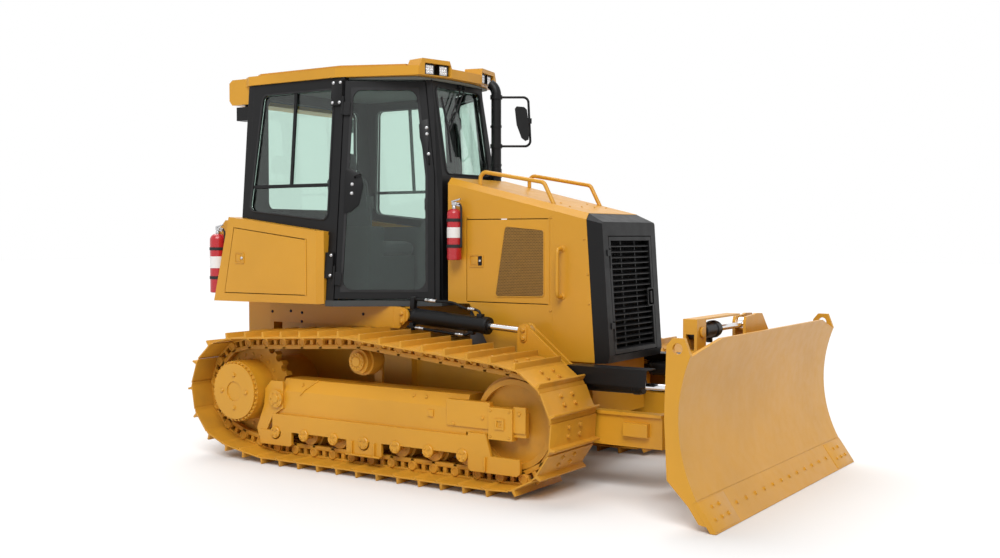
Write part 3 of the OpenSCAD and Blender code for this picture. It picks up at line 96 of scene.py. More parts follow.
class Graph:
    """A material's node tree, built link by link."""

    def __init__(self, name: str) -> None:
        """Starts an empty material that ends in one output node.

        Args:
            name: Name of the material.
        """
        self.material = bpy.data.materials.new(name)
        self.material.use_nodes = True
        self.tree = self.material.node_tree
        self.tree.nodes.clear()
        self.output = self.tree.nodes.new("ShaderNodeOutputMaterial")

    def add(self, kind: str, settings: dict | None = None, **inputs: object) -> bpy.types.Node:
        """Adds a node and fills its inputs.

        Args:
            kind: Node type without the ShaderNode prefix.
            settings: Values of the node's own properties.
            inputs: Socket name, with _ for a space, to a constant or to an output socket.

        Returns:
            The new node.
        """
        node = self.tree.nodes.new("ShaderNode" + kind)
        for key, value in (settings or {}).items():
            setattr(node, key, value)
        for key, value in inputs.items():
            self.feed(node.inputs[key.replace("_", " ")], value)
        return node

    def feed(self, socket: bpy.types.NodeSocket, value: object) -> None:
        """Links an output to the socket, or sets the socket's own value.

        Args:
            socket: Input that is filled.
            value: An output, or a constant.
        """
        if isinstance(value, bpy.types.NodeSocket):
            self.tree.links.new(value, socket)
        else:
            socket.default_value = value

    def join(self, kind: str, first: object, second: object, operation: str | None = None) -> bpy.types.Node:
        """Adds a node that takes two inputs in a row.

        Args:
            kind: Node type without the ShaderNode prefix.
            first: First input.
            second: Second input.
            operation: What a node with several operations does.

        Returns:
            The new node.
        """
        node = self.add(kind, {"operation": operation} if operation else None)
        self.feed(node.inputs[0], first)
        self.feed(node.inputs[1], second)
        return node

    def place(self) -> bpy.types.NodeSocket:
        """Object coordinates."""
        return self.add("TexCoord").outputs["Object"]

    def noise(self, scale: float, detail: float = 3.0) -> bpy.types.NodeSocket:
        """Value of a noise of that many waves a metre."""
        return self.add("TexNoise", Vector=self.place(), Scale=scale, Detail=detail).outputs["Fac"]

    def ranged(self, value: bpy.types.NodeSocket, low: Flat, high: Flat) -> bpy.types.NodeSocket:
        """Maps value from low = (from, to) over high = (from, to), clamped.

        Args:
            value: Socket to map.
            low: Range that is read.
            high: Range that is written.

        Returns:
            The mapped value.
        """
        return self.add("MapRange", From_Min=low[0], From_Max=low[1], To_Min=high[0], To_Max=high[1],
                        Value=value).outputs["Result"]

    def mix(self, factor: object, first: object, second: object) -> bpy.types.NodeSocket:
        """Mixes two colours by factor.

        Args:
            factor: Share of the second colour.
            first: First colour.
            second: Second colour.

        Returns:
            The mixed colour.
        """
        node = self.tree.nodes.new("ShaderNodeMix")
        node.data_type = "RGBA"
        for index, value in ((0, factor), (6, first), (7, second)):
            self.feed(node.inputs[index], value)
        return node.outputs[2]

    def edge(self, radius: float) -> tuple[bpy.types.NodeSocket, bpy.types.NodeSocket]:
        """Rounds the normals at sharp edges.

        Args:
            radius: Radius of the rounding, in metres.

        Returns:
            The rounded normal, and a value that rises from 0 on a flat face to 1 on an edge.
        """
        bevel = self.add("Bevel", {"samples": 4}, Radius=radius).outputs["Normal"]
        flat = self.add("NewGeometry").outputs["Normal"]
        dot = self.join("VectorMath", bevel, flat, "DOT_PRODUCT")
        return bevel, self.ranged(dot.outputs["Value"], (0.99, 0.8), (0.0, 1.0))

    def close(self, shader: bpy.types.Node) -> bpy.types.Material:
        """Links the shader to the output and hands over the material."""
        self.tree.links.new(shader.outputs[0], self.output.inputs["Surface"])
        return self.material


def rgba(colour: Colour, gain: float = 1.0) -> tuple[float, float, float, float]:
    """The colour with its brightness changed, as a node's value."""
    return (*(min(1.0, channel * gain) for channel in colour), 1.0)


@dataclass(frozen=True)
class Surface:
    """A material of the machine and the record's slot that it goes with."""

    name: str
    colour: Colour
    slot: Slot

    def material(self) -> bpy.types.Material:
        """The node material, built at its first use."""
        return bpy.data.materials.get(self.name) or self.build(Graph(self.name))

    def build(self, graph: Graph) -> bpy.types.Material:
        """Fills the graph of a new material."""
        raise NotImplementedError


@dataclass(frozen=True)
class Finish(Surface):
    """An opaque surface: its gloss, grain and a colour painted on its edges in chips like light wear; on most
    finishes that colour is lighter than the paint, a painted highlight, and on chrome, lens and band it is
    darker, a painted shade.
    """

    rough: float = 0.4
    metal: float = 0.0
    coat: float = 0.0
    gloss: float = 0.4
    patch: float = 0.06
    grain_scale: float = 420.0
    grain: float = 0.04
    # Colour painted on the edges as painted light: lighter than the base colour is a painted highlight,
    # darker is a painted shade.
    edge_colour: Colour = (0.8, 0.5, 0.12)
    edge_share: float = 0.3
    edge_radius: float = 0.003
    dirt: Colour = (0.2, 0.11, 0.03)
    dirt_share: float = 0.0

    def build(self, graph: Graph) -> bpy.types.Material:
        """Mixes paint, dirt and painted light on the edges, in chips like light wear, over a fine grain.

        Args:
            graph: Graph of the new material.

        Returns:
            The finished material.
        """
        rounded, edge_shading_mask = graph.edge(self.edge_radius)
        cloudy = graph.ranged(graph.noise(1.7, 5.0), (0.3, 0.7), (0.0, 1.0))
        colour = graph.mix(cloudy, rgba(self.colour, 1 - self.patch), rgba(self.colour, 1 + self.patch))
        if self.dirt_share:
            film = graph.ranged(graph.noise(9.0, 8.0), (0.45, 0.75), (0.0, self.dirt_share))
            colour = graph.mix(film, colour, rgba(self.dirt))
        # Painted light on the edges: the bevel's edge mask, broken into noisy chips, lays the edge colour
        # over the paint, mostly as a painted highlight.
        wear_and_shading_flecks = graph.ranged(graph.noise(35.0, 6.0), (0.4, 0.65), (0.0, self.edge_share))
        shaded_edge_chips = graph.join("Math", edge_shading_mask, wear_and_shading_flecks, "MULTIPLY")
        colour = graph.mix(shaded_edge_chips.outputs[0], colour, rgba(self.edge_colour))
        fine = graph.noise(self.grain_scale, 2.0)
        bump = graph.add("Bump", Strength=self.grain, Distance=0.002, Height=fine, Normal=rounded)
        rough = graph.ranged(graph.noise(14.0, 4.0), (0.3, 0.7), (self.rough - 0.05, self.rough + 0.07))
        shader = graph.add(
            "BsdfPrincipled", Base_Color=colour, Roughness=rough, Metallic=self.metal,
            Coat_Weight=self.coat, Coat_Roughness=0.15, Specular_IOR_Level=self.gloss,
            Normal=bump.outputs["Normal"],
        )
        return graph.close(shader)


@dataclass(frozen=True)
class Glazing(Surface):
    """Tinted glass with faint streaks in its gloss."""

    def build(self, graph: Graph) -> bpy.types.Material:
        """Lets light through a slightly uneven sheet.

        Args:
            graph: Graph of the new material.

        Returns:
            The finished material.
        """
        film = graph.ranged(graph.noise(6.0, 6.0), (0.35, 0.7), (0.0, 0.05))
        wave = graph.add("Bump", Strength=0.02, Distance=0.01, Height=graph.noise(3.0, 1.0))
        colour = graph.mix(film, rgba(self.colour), rgba(self.colour, 0.9))
        shader = graph.add(
            "BsdfPrincipled", Base_Color=colour, Roughness=graph.ranged(film, (0.0, 0.05), (0.0, 0.03)),
            IOR=1.45, Transmission_Weight=1.0, Normal=wave.outputs["Normal"],
        )
        return graph.close(shader)


@dataclass(frozen=True)
class Weave(Surface):
    """Woven seat cover with a fine crossed thread."""

    thread: float = 260.0

    def build(self, graph: Graph) -> bpy.types.Material:
        """Crosses two waves under a cloudy colour.

        Args:
            graph: Graph of the new material.

        Returns:
            The finished material.
        """
        across, along = (
            graph.add("TexWave", {"bands_direction": axis}, Vector=graph.place(), Scale=self.thread,
                      Distortion=0.4)
            for axis in "XZ"
        )
        cross = graph.mix(0.5, across.outputs["Color"], along.outputs["Color"])
        colour = graph.mix(graph.ranged(graph.noise(18.0), (0.3, 0.7), (0.0, 1.0)), rgba(self.colour, 0.8),
                           rgba(self.colour, 1.3))
        bump = graph.add("Bump", Strength=0.35, Distance=0.0015, Height=cross)
        shader = graph.add("BsdfPrincipled", Base_Color=colour, Roughness=0.85, Sheen_Weight=0.3,
                           Normal=bump.outputs["Normal"])
        return graph.close(shader)


# The edge colours below are painted light on each finish's edges: lighter than the base colour is a painted
# highlight, darker is a painted shade.
PAINT = Finish("yellow_paint", (0.61, 0.29, 0.018), Slot.YELLOW, rough=0.38, coat=0.08)
TRACK_PAINT = Finish("track_paint", (0.57, 0.265, 0.02), Slot.YELLOW, rough=0.46, patch=0.1, dirt_share=0.2)
BLACK = Finish("black_paint", (0.006, 0.006, 0.0065), Slot.BLACK, rough=0.4, gloss=0.22,
               edge_colour=(0.06, 0.06, 0.065))
TRIM = Finish("cab_lining", (0.045, 0.05, 0.05), Slot.BLACK, rough=0.6, grain_scale=900.0, grain=0.12,
              edge_colour=(0.09, 0.09, 0.09))
RUBBER = Finish("rubber", (0.012, 0.012, 0.013), Slot.BLACK, rough=0.7, grain_scale=700.0,
                edge_colour=(0.03, 0.03, 0.03))
CHROME = Finish("polished_rod", (0.78, 0.78, 0.79), Slot.CHROME, rough=0.14, metal=1.0, patch=0.02,
                grain=0.005, edge_colour=(0.6, 0.6, 0.6))
STEEL = Finish("bright_steel", (0.55, 0.55, 0.56), Slot.CHROME, rough=0.3, metal=1.0,
               edge_colour=(0.8, 0.8, 0.8))
IRON = Finish("cast_metal", (0.1, 0.1, 0.105), Slot.METAL, rough=0.6, metal=0.4, grain_scale=300.0, grain=0.2,
              edge_colour=(0.2, 0.2, 0.2))
RED = Finish("red_paint", (0.47, 0.012, 0.02), Slot.RED, rough=0.25, coat=0.4, edge_colour=(0.6, 0.1, 0.1))
# MESH: the hood mesh's yellow darkened as painted shade of the engine bay seen through the holes.
MESH = Finish("mesh_paint", (0.3, 0.15, 0.022), Slot.YELLOW, rough=0.5)
SHADE = Finish("hole_shade", (0.02, 0.014, 0.008), Slot.BLACK, rough=0.8)
LENS = Finish("lamp_lens", (0.8, 0.81, 0.83), Slot.GLASS, rough=0.15, coat=0.6, edge_colour=(0.5, 0.5, 0.5))
BAND = Finish("blank_band", (0.78, 0.77, 0.75), Slot.CHROME, rough=0.5, edge_colour=(0.7, 0.7, 0.7))
LINING = Finish("headliner", (0.16, 0.18, 0.17), Slot.BLACK, rough=0.8, grain_scale=1200.0, grain=0.2,
                edge_colour=(0.2, 0.2, 0.2))
GLASS = Glazing("tinted_glass", (0.72, 0.85, 0.79), Slot.GLASS)
CLOTH = Weave("seat_cloth", (0.02, 0.02, 0.022), Slot.SEAT)


def fillet(points: list[Flat], radius: float, steps: int = 5) -> list[Flat]:
    """Rounds every corner of a closed outline.

    Args:
        points: Corners in order.
        radius: Radius of the rounding.
        steps: Points on each arc.

    Returns:
        The outline with an arc at each corner.
    """
    rounded: list[Flat] = []
    for index, corner in enumerate(points):
        here = Vector(corner)
        before = (Vector(points[index - 1]) - here).normalized()
        after = (Vector(points[(index + 1) % len(points)]) - here).normalized()
        half = math.acos(max(-1.0, min(1.0, before.dot(after)))) / 2
        reach = radius / math.tan(half)
        middle = here + (before + after).normalized() * radius / math.sin(half)
        first, last = here + before * reach - middle, here + after * reach - middle
        for step in range(steps + 1):
            arm = first.lerp(last, step / steps).normalized() * radius
            rounded.append(tuple(middle + arm))
    return rounded


def rectangle(x0: float, y0: float, x1: float, y1: float, radius: float = 0.0, steps: int = 5) -> list[Flat]:
    """Outline of a rectangle between two corners, rounded where a radius is given."""
    corners = [(x0, y0), (x1, y0), (x1, y1), (x0, y1)]
    return fillet(corners, radius, steps) if radius else corners


def circle(count: int) -> list[Flat]:
    """Cosine and sine of evenly spaced turns."""
    return [(math.cos(2 * math.pi * k / count), math.sin(2 * math.pi * k / count)) for k in range(count)]


def facing(origin: Point, along: Vector, up: Vector) -> Matrix:
    """A place in millimetres whose X runs along and whose Z points up.

    Args:
        origin: Where it lies.
        along: Direction of its X.
        up: Direction of its Z, squared to along.

    Returns:
        The 4 by 4 matrix.
    """
    z = up.normalized()
    y = z.cross(along).normalized()
    x = y.cross(z)
    place = Matrix((x, y, z)).transposed().to_4x4()
    place.translation = origin
    return place


def turned(origin: Point, *turns: tuple[float, str]) -> Matrix:
    """A place in millimetres.

    Args:
        origin: Where it lies.
        turns: Degrees and axis of each turn, the outermost first.

    Returns:
        The 4 by 4 matrix.
    """
    place = Matrix.Translation(origin)
    for angle, axis in turns:
        place = place @ Matrix.Rotation(math.radians(angle), 4, axis)
    return place


def around(place: Matrix, radius: float, count: int, start: float = 0.0) -> list[Matrix]:
    """Places on a circle about a place's Z.

    Args:
        place: Middle of the circle.
        radius: Radius of the circle.
        count: How many places.
        start: Angle of the first, in degrees.

    Returns:
        The places, each turned with the circle.
    """
    step = 360 / count
    return [place @ turned((0, 0, 0), (start + k * step, "Z")) @ Matrix.Translation((radius, 0, 0))
            for k in range(count)]


def inside(outline: list[Flat], x: float, y: float) -> bool:
    """Whether a point lies inside a closed outline.

    Args:
        outline: Corners in order.
        x: First coordinate of the point.
        y: Second coordinate of the point.

    Returns:
        True where it lies inside.
    """
    hit = False
    for (x0, y0), (x1, y1) in zip(outline, outline[1:] + outline[:1]):
        if (y0 > y) != (y1 > y) and x < x0 + (y - y0) * (x1 - x0) / (y1 - y0):
            hit = not hit
    return hit


# Frames of the leaning and slanted parts. On a FACE, X runs along a wall, Y runs up and Z points out.
UPRIGHT = (90, "X")
X_AXIS, Y_AXIS = Vector((1, 0, 0)), Vector((0, 1, 0))
FACE = turned((0, 0, 0), UPRIGHT)
ALONG = turned((0, 0, 0), (90, "Y"))
FRONT = turned((0, 0, 0), (90, "Z"), UPRIGHT)
MIRRORED = Matrix.Scale(-1, 4, (0, 1, 0))
CAB_SIDE = turned((0, -800, 1130), (-4.8, "X"))
CAB_DOOR = turned((-860, -800, 1130), (36, "Z"), (-3.883, "X"))
SCREEN = turned((-262, 0, 2004), (-9, "Y"))
GRILLE = turned((981, 0, 760), (-4, "Y"))
LAMP_EDGE = turned((-352, -482, 2694), (77.03, "Z"))
MIRROR_ARM = turned((-219.5, 287, 0), (33, "Z"))
LIFT = turned((-440, -515, 1030), (3.906, "Y"))
ANGLE = turned((880, -500, 655), (3.013, "Z"))
TILT = turned((1890, -870, 1040), (90, "Z"))


def wall(y: float) -> Matrix:
    """The FACE of an upright wall on the right side."""
    return turned((0, y, 0), UPRIGHT)


def flip(side: Side) -> Matrix:
    """Turns a place on the right side into the same place on that side."""
    return Matrix() if side is Side.RIGHT else MIRRORED


def linked(name: str, data: bpy.types.ID) -> bpy.types.Object:
    """A new object with that data, in the scene.

    Args:
        name: Name of the object.
        data: Its mesh, lamp or camera.

    Returns:
        The object.
    """
    made = bpy.data.objects.new(name, data)
    bpy.context.scene.collection.objects.link(made)
    return made


def settle(piece: bpy.types.Object) -> None:
    """Makes a plain mesh of what the modifiers give.

    Args:
        piece: Object whose modifiers are used up.
    """
    made = bpy.data.meshes.new_from_object(piece.evaluated_get(bpy.context.evaluated_depsgraph_get()))
    piece.modifiers.clear()
    piece.data = made


class Shape:
    """A mesh that is put together in millimetres, in the machine's frame."""

    def __init__(self) -> None:
        """Starts empty."""
        self.mesh = bmesh.new()

    def take(self, part: bmesh.types.BMesh, place: Matrix, bevel: float = 0.0) -> "Shape":
        """Bevels a closed part, places it and adds it.

        Args:
            part: The part in its own frame, used up here.
            place: Where it goes, which may mirror it.
            bevel: Width of the bevel on its sharp edges, 0 for none.

        Returns:
            This shape.
        """
        if bevel:
            sharp = [e for e in part.edges if e.is_manifold and e.calc_face_angle(0) > SHARP]
            bmesh.ops.bevel(part, geom=sharp, offset=bevel, segments=2, profile=0.5, affect="EDGES",
                            clamp_overlap=True)
        bmesh.ops.transform(part, matrix=place, verts=part.verts)
        if place.determinant() < 0:
            bmesh.ops.reverse_faces(part, faces=part.faces)
        carrier = bpy.data.meshes.new("carrier")
        part.to_mesh(carrier)
        part.free()
        self.mesh.from_mesh(carrier)
        bpy.data.meshes.remove(carrier)
        return self

    def skin(self, loops: list[list[tuple]], place: Matrix, bevel: float = 0.0,
             hollow: bool = False) -> "Shape":
        """Adds a closed skin over loops of as many points.

        Args:
            loops: The loops in order.
            place: Where it goes.
            bevel: Width of the bevel on its sharp edges.
            hollow: Whether the last loop meets the first one, instead of a cap on each.

        Returns:
            This shape.
        """
        part = bmesh.new()
        rings = [[part.verts.new(point) for point in loop] for loop in loops]
        if not hollow:
            part.faces.new(rings[0])
            part.faces.new(rings[-1])
        for low, high in zip(rings, rings[1:] + (rings[:1] if hollow else [])):
            for k in range(len(low)):
                after = (k + 1) % len(low)
                part.faces.new((low[k], low[after], high[after], high[k]))
        bmesh.ops.recalc_face_normals(part, faces=part.faces)
        return self.take(part, place, bevel)

    def block(self, low: tuple, high: tuple, bevel: float = 2.0, place: Matrix = Matrix()) -> "Shape":
        """Adds a bevelled block between two corners.

        Args:
            low: Lowest corner.
            high: Highest corner.
            bevel: Width of the bevel on its edges.
            place: Where it goes.

        Returns:
            This shape.
        """
        part = bmesh.new()
        bmesh.ops.create_cube(part, size=1.0)
        low, high = Vector(low), Vector(high)
        for vert in part.verts:
            vert.co = [(a + b) / 2 + c * (b - a) for a, b, c in zip(low, high, vert.co)]
        bmesh.ops.recalc_face_normals(part, faces=part.faces)
        return self.take(part, place, bevel)

    def prism(self, outline: list[Flat], low: float, high: float, bevel: float = 1.5,
              place: Matrix = Matrix()) -> "Shape":
        """Adds an outline in X and Y, drawn out along Z.

        Args:
            outline: Corners in order.
            low: Where it starts along Z.
            high: Where it ends along Z.
            bevel: Width of the bevel on its edges.
            place: Where it goes.

        Returns:
            This shape.
        """
        return self.skin([[(x, y, z) for x, y in outline] for z in (low, high)], place, bevel)

    def lathe(self, profile: list[Flat], place: Matrix = Matrix(), segments: int = 32) -> "Shape":
        """Adds a profile of radius and height, turned about Z and closed at both ends.

        Args:
            profile: Radius and height of each ring, from one end to the other.
            place: Where it goes.
            segments: Faces round it.

        Returns:
            This shape.
        """
        turns = circle(segments)
        loops = [[(radius * c, radius * s, height) for c, s in turns] for radius, height in profile]
        return self.skin(loops, place)

    def ring(self, outer: list[Flat], inner: list[Flat], low: float, high: float,
             place: Matrix = Matrix()) -> "Shape":
        """Adds a flat frame between two outlines of as many points.

        Args:
            outer: Outline in X and Y.
            inner: Opening in X and Y.
            low: Where it starts along Z.
            high: Where it ends along Z.
            place: Where it goes.

        Returns:
            This shape.
        """
        corners = [(outer, low), (outer, high), (inner, high), (inner, low)]
        return self.skin([[(x, y, z) for x, y in line] for line, z in corners], place, hollow=True)

    def tube(self, points: list[tuple], radius: float, sides: int = 12, bend: float = 0.0,
             place: Matrix = Matrix()) -> "Shape":
        """Adds a round tube along points, with its corners bent.

        Args:
            points: Corners of the route.
            radius: Radius of the tube.
            sides: Faces round it.
            bend: Radius of the bends, 0 for a route that is already smooth.
            place: Where it goes.

        Returns:
            This shape.
        """
        route = bent(points, bend) if bend else [Vector(p) for p in points]
        normal = (route[1] - route[0]).orthogonal().normalized()
        loops, turns = [], circle(sides)
        for index, point in enumerate(route):
            ahead = route[min(index + 1, len(route) - 1)] - route[max(index - 1, 0)]
            ahead.normalize()
            normal = (normal - ahead * normal.dot(ahead)).normalized()
            other = ahead.cross(normal)
            loops.append([point + radius * (c * normal + s * other) for c, s in turns])
        return self.skin(loops, place)

    def bead(self, outline: list[Flat], radius: float, place: Matrix) -> "Shape":
        """Adds a closed round bead along an outline on a face."""
        return self.tube([(x, y, 1) for x, y in outline + outline[:1]], radius, 8, place=place)

    def frame(self, box: Box, width: float, low: float, high: float, place: Matrix) -> "Shape":
        """Adds a latch frame with rounded corners on a face.

        Args:
            box: Its outer corners on the face.
            width: Width of its bars.
            low: Where it starts, out of the face.
            high: Where it ends.
            place: The face.

        Returns:
            This shape.
        """
        x0, y0, x1, y1 = box
        opening = rectangle(x0 + width, y0 + width, x1 - width, y1 - width, 6)
        return self.ring(rectangle(*box, 10), opening, low, high, place)

    def mirrored(self) -> "Shape":
        """Adds the same shape on the other side of the machine."""
        return self.take(self.mesh.copy(), MIRRORED)

    def object(self, name: str) -> bpy.types.Object:
        """Turns the shape into an object in metres.

        Args:
            name: Name of the object.

        Returns:
            The object, linked to the scene and without a finish.
        """
        bmesh.ops.scale(self.mesh, vec=(MM, MM, MM), verts=self.mesh.verts)
        data = bpy.data.meshes.new(name)
        self.mesh.to_mesh(data)
        self.mesh.free()
        soften(data)
        return linked(name, data)


def soften(data: bpy.types.Mesh) -> None:
    """Shades a mesh smooth up to its sharp edges."""
    data.polygons.foreach_set("use_smooth", [True] * len(data.polygons))
    data.set_sharp_from_angle(angle=SHARP)


def bent(points: list[tuple], radius: float, steps: int = 6) -> list[Vector]:
    """A route whose inner corners are arcs.

    Args:
        points: Corners of the route.
        radius: Radius of the bends.
        steps: Points on each bend.

    Returns:
        The points of the bent route.
    """
    corners = [Vector(p) for p in points]
    route = [corners[0]]
    for before, here, after in zip(corners, corners[1:], corners[2:]):
        back, ahead = (before - here), (after - here)
        cut = min(radius, back.length * 0.48, ahead.length * 0.48)
        first, last = here + back.normalized() * cut, here + ahead.normalized() * cut
        for step in range(steps + 1):
            t = step / steps
            route.append(first * (1 - t) ** 2 + here * 2 * t * (1 - t) + last * t * t)
    route.append(corners[-1])
    return route


class Scatter:
    """Geometry Nodes that set one template on many places."""

    ATTRIBUTE = "turn"

    def __init__(self) -> None:
        """Builds the tree with its named inputs."""
        tree = bpy.data.node_groups.new("set_on_places", "GeometryNodeTree")
        face = tree.interface
        face.new_socket("Places", in_out="INPUT", socket_type="NodeSocketGeometry")
        self.template = face.new_socket("Template", in_out="INPUT", socket_type="NodeSocketObject").identifier
        self.size = face.new_socket("Size", in_out="INPUT", socket_type="NodeSocketFloat").identifier
        self.finish = face.new_socket("Finish", in_out="INPUT", socket_type="NodeSocketMaterial").identifier
        face.new_socket("Geometry", in_out="OUTPUT", socket_type="NodeSocketGeometry")
        nodes = tree.nodes
        given, made = nodes.new("NodeGroupInput"), nodes.new("NodeGroupOutput")
        source, turn, spread, real, painted = (nodes.new("GeometryNode" + kind) for kind in (
            "ObjectInfo", "InputNamedAttribute", "InstanceOnPoints", "RealizeInstances", "SetMaterial"))
        euler = nodes.new("FunctionNodeEulerToRotation")
        turn.data_type = "FLOAT_VECTOR"
        turn.inputs["Name"].default_value = self.ATTRIBUTE
        for start, output, end, socket in (
            (given, "Template", source, "Object"), (turn, "Attribute", euler, 0),
            (given, "Places", spread, "Points"), (source, "Geometry", spread, "Instance"),
            (euler, 0, spread, "Rotation"), (given, "Size", spread, "Scale"),
            (spread, "Instances", real, "Geometry"), (real, "Geometry", painted, "Geometry"),
            (given, "Finish", painted, "Material"), (painted, "Geometry", made, "Geometry"),
        ):
            tree.links.new(start.outputs[output], end.inputs[socket])
        self.tree = tree

    def spread(self, name: str, template: Shape, places: list[Matrix], finish: Surface) -> bpy.types.Object:
        """Sets a template on places and makes a plain mesh of it.

        Args:
            name: Name of the new object.
            template: What is repeated, about its own origin, used up here.
            places: Where each copy goes, in millimetres.
            finish: Finish of all copies.

        Returns:
            One object with every copy in its mesh.
        """
        source = template.object(name + "_template")
        data = bpy.data.meshes.new(name + "_places")
        data.from_pydata([tuple(p.translation * MM) for p in places], [], [])
        turns = data.attributes.new(self.ATTRIBUTE, "FLOAT_VECTOR", "POINT")
        turns.data.foreach_set("vector", [angle for p in places for angle in p.to_euler("XYZ")])
        holder = linked(name, data)
        nodes = holder.modifiers.new("places", "NODES")
        nodes.node_group = self.tree
        nodes[self.template] = source
        nodes[self.size] = 1.0
        nodes[self.finish] = finish.material()
        settle(holder)
        holder.data.name = name
        bpy.data.meshes.remove(data)
        bpy.data.objects.remove(source)
        soften(holder.data)
        return holder


@dataclass
class Workshop:
    """The loaded frame and the way that pieces are handed to it."""

    frame: dict
    scatter: Scatter = field(default_factory=Scatter)

    def give(self, piece: bpy.types.Object, finish: Surface, body: str = "machine", *nodes: str) -> None:
        """Lets a piece ride on a body.

        Args:
            piece: The finished object.
            finish: Not used.
            body: Body that carries it.
            nodes: CAD nodes that it stands for.
        """
        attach(piece, body)
        if nodes:
            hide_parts(*nodes)
        LOG.info("%s rides on %s, %d faces", piece.name, body, len(piece.data.polygons))

    def put(self, shape: Shape, name: str, finish: Surface, body: str = "machine", *nodes: str) -> None:
        """Makes a piece of a shape, paints it and hands it over.

        Args:
            shape: The shape, used up here.
            name: Name of the piece.
            finish: Its finish.
            body: Body that carries it.
            nodes: CAD nodes that it stands for.
        """
        piece = shape.object(name)
        piece.data.materials.append(finish.material())
        self.give(piece, finish, body, *nodes)

    def repeat(self, shape: Shape, name: str, places: list[Matrix], finish: Surface, body: str = "machine",
               *nodes: str) -> None:
        """Sets a shape on places and hands the whole over.

        Args:
            shape: What is repeated, used up here.
            name: Name of the piece.
            places: Where each copy goes.
            finish: Finish of all copies.
            body: Body that carries them.
            nodes: CAD nodes that they stand for.
        """
        self.give(self.scatter.spread(name, shape, places, finish), finish, body, *nodes)

    def paint(self, finish: Surface, *nodes: str) -> None:
        """Gives CAD nodes a finish.

        Args:
            finish: The finish.
            nodes: Names of the nodes.
        """
        for node in nodes:
            materials = self.frame["nodes"][node].data.materials
            materials.clear()
            materials.append(finish.material())


def bolt(radius: float, height: float) -> Shape:
    """A hexagon head on a washer, along Z from its seat.

    Args:
        radius: Radius of the head.
        height: Height of the head.

    Returns:
        The bolt about its own origin.
    """
    shape = Shape()
    shape.lathe([(radius * 1.25, 0), (radius * 1.25, height * 0.2)], segments=16)
    return shape.lathe([(radius, height * 0.1), (radius, height * 0.8), (radius * 0.8, height)], segments=6)


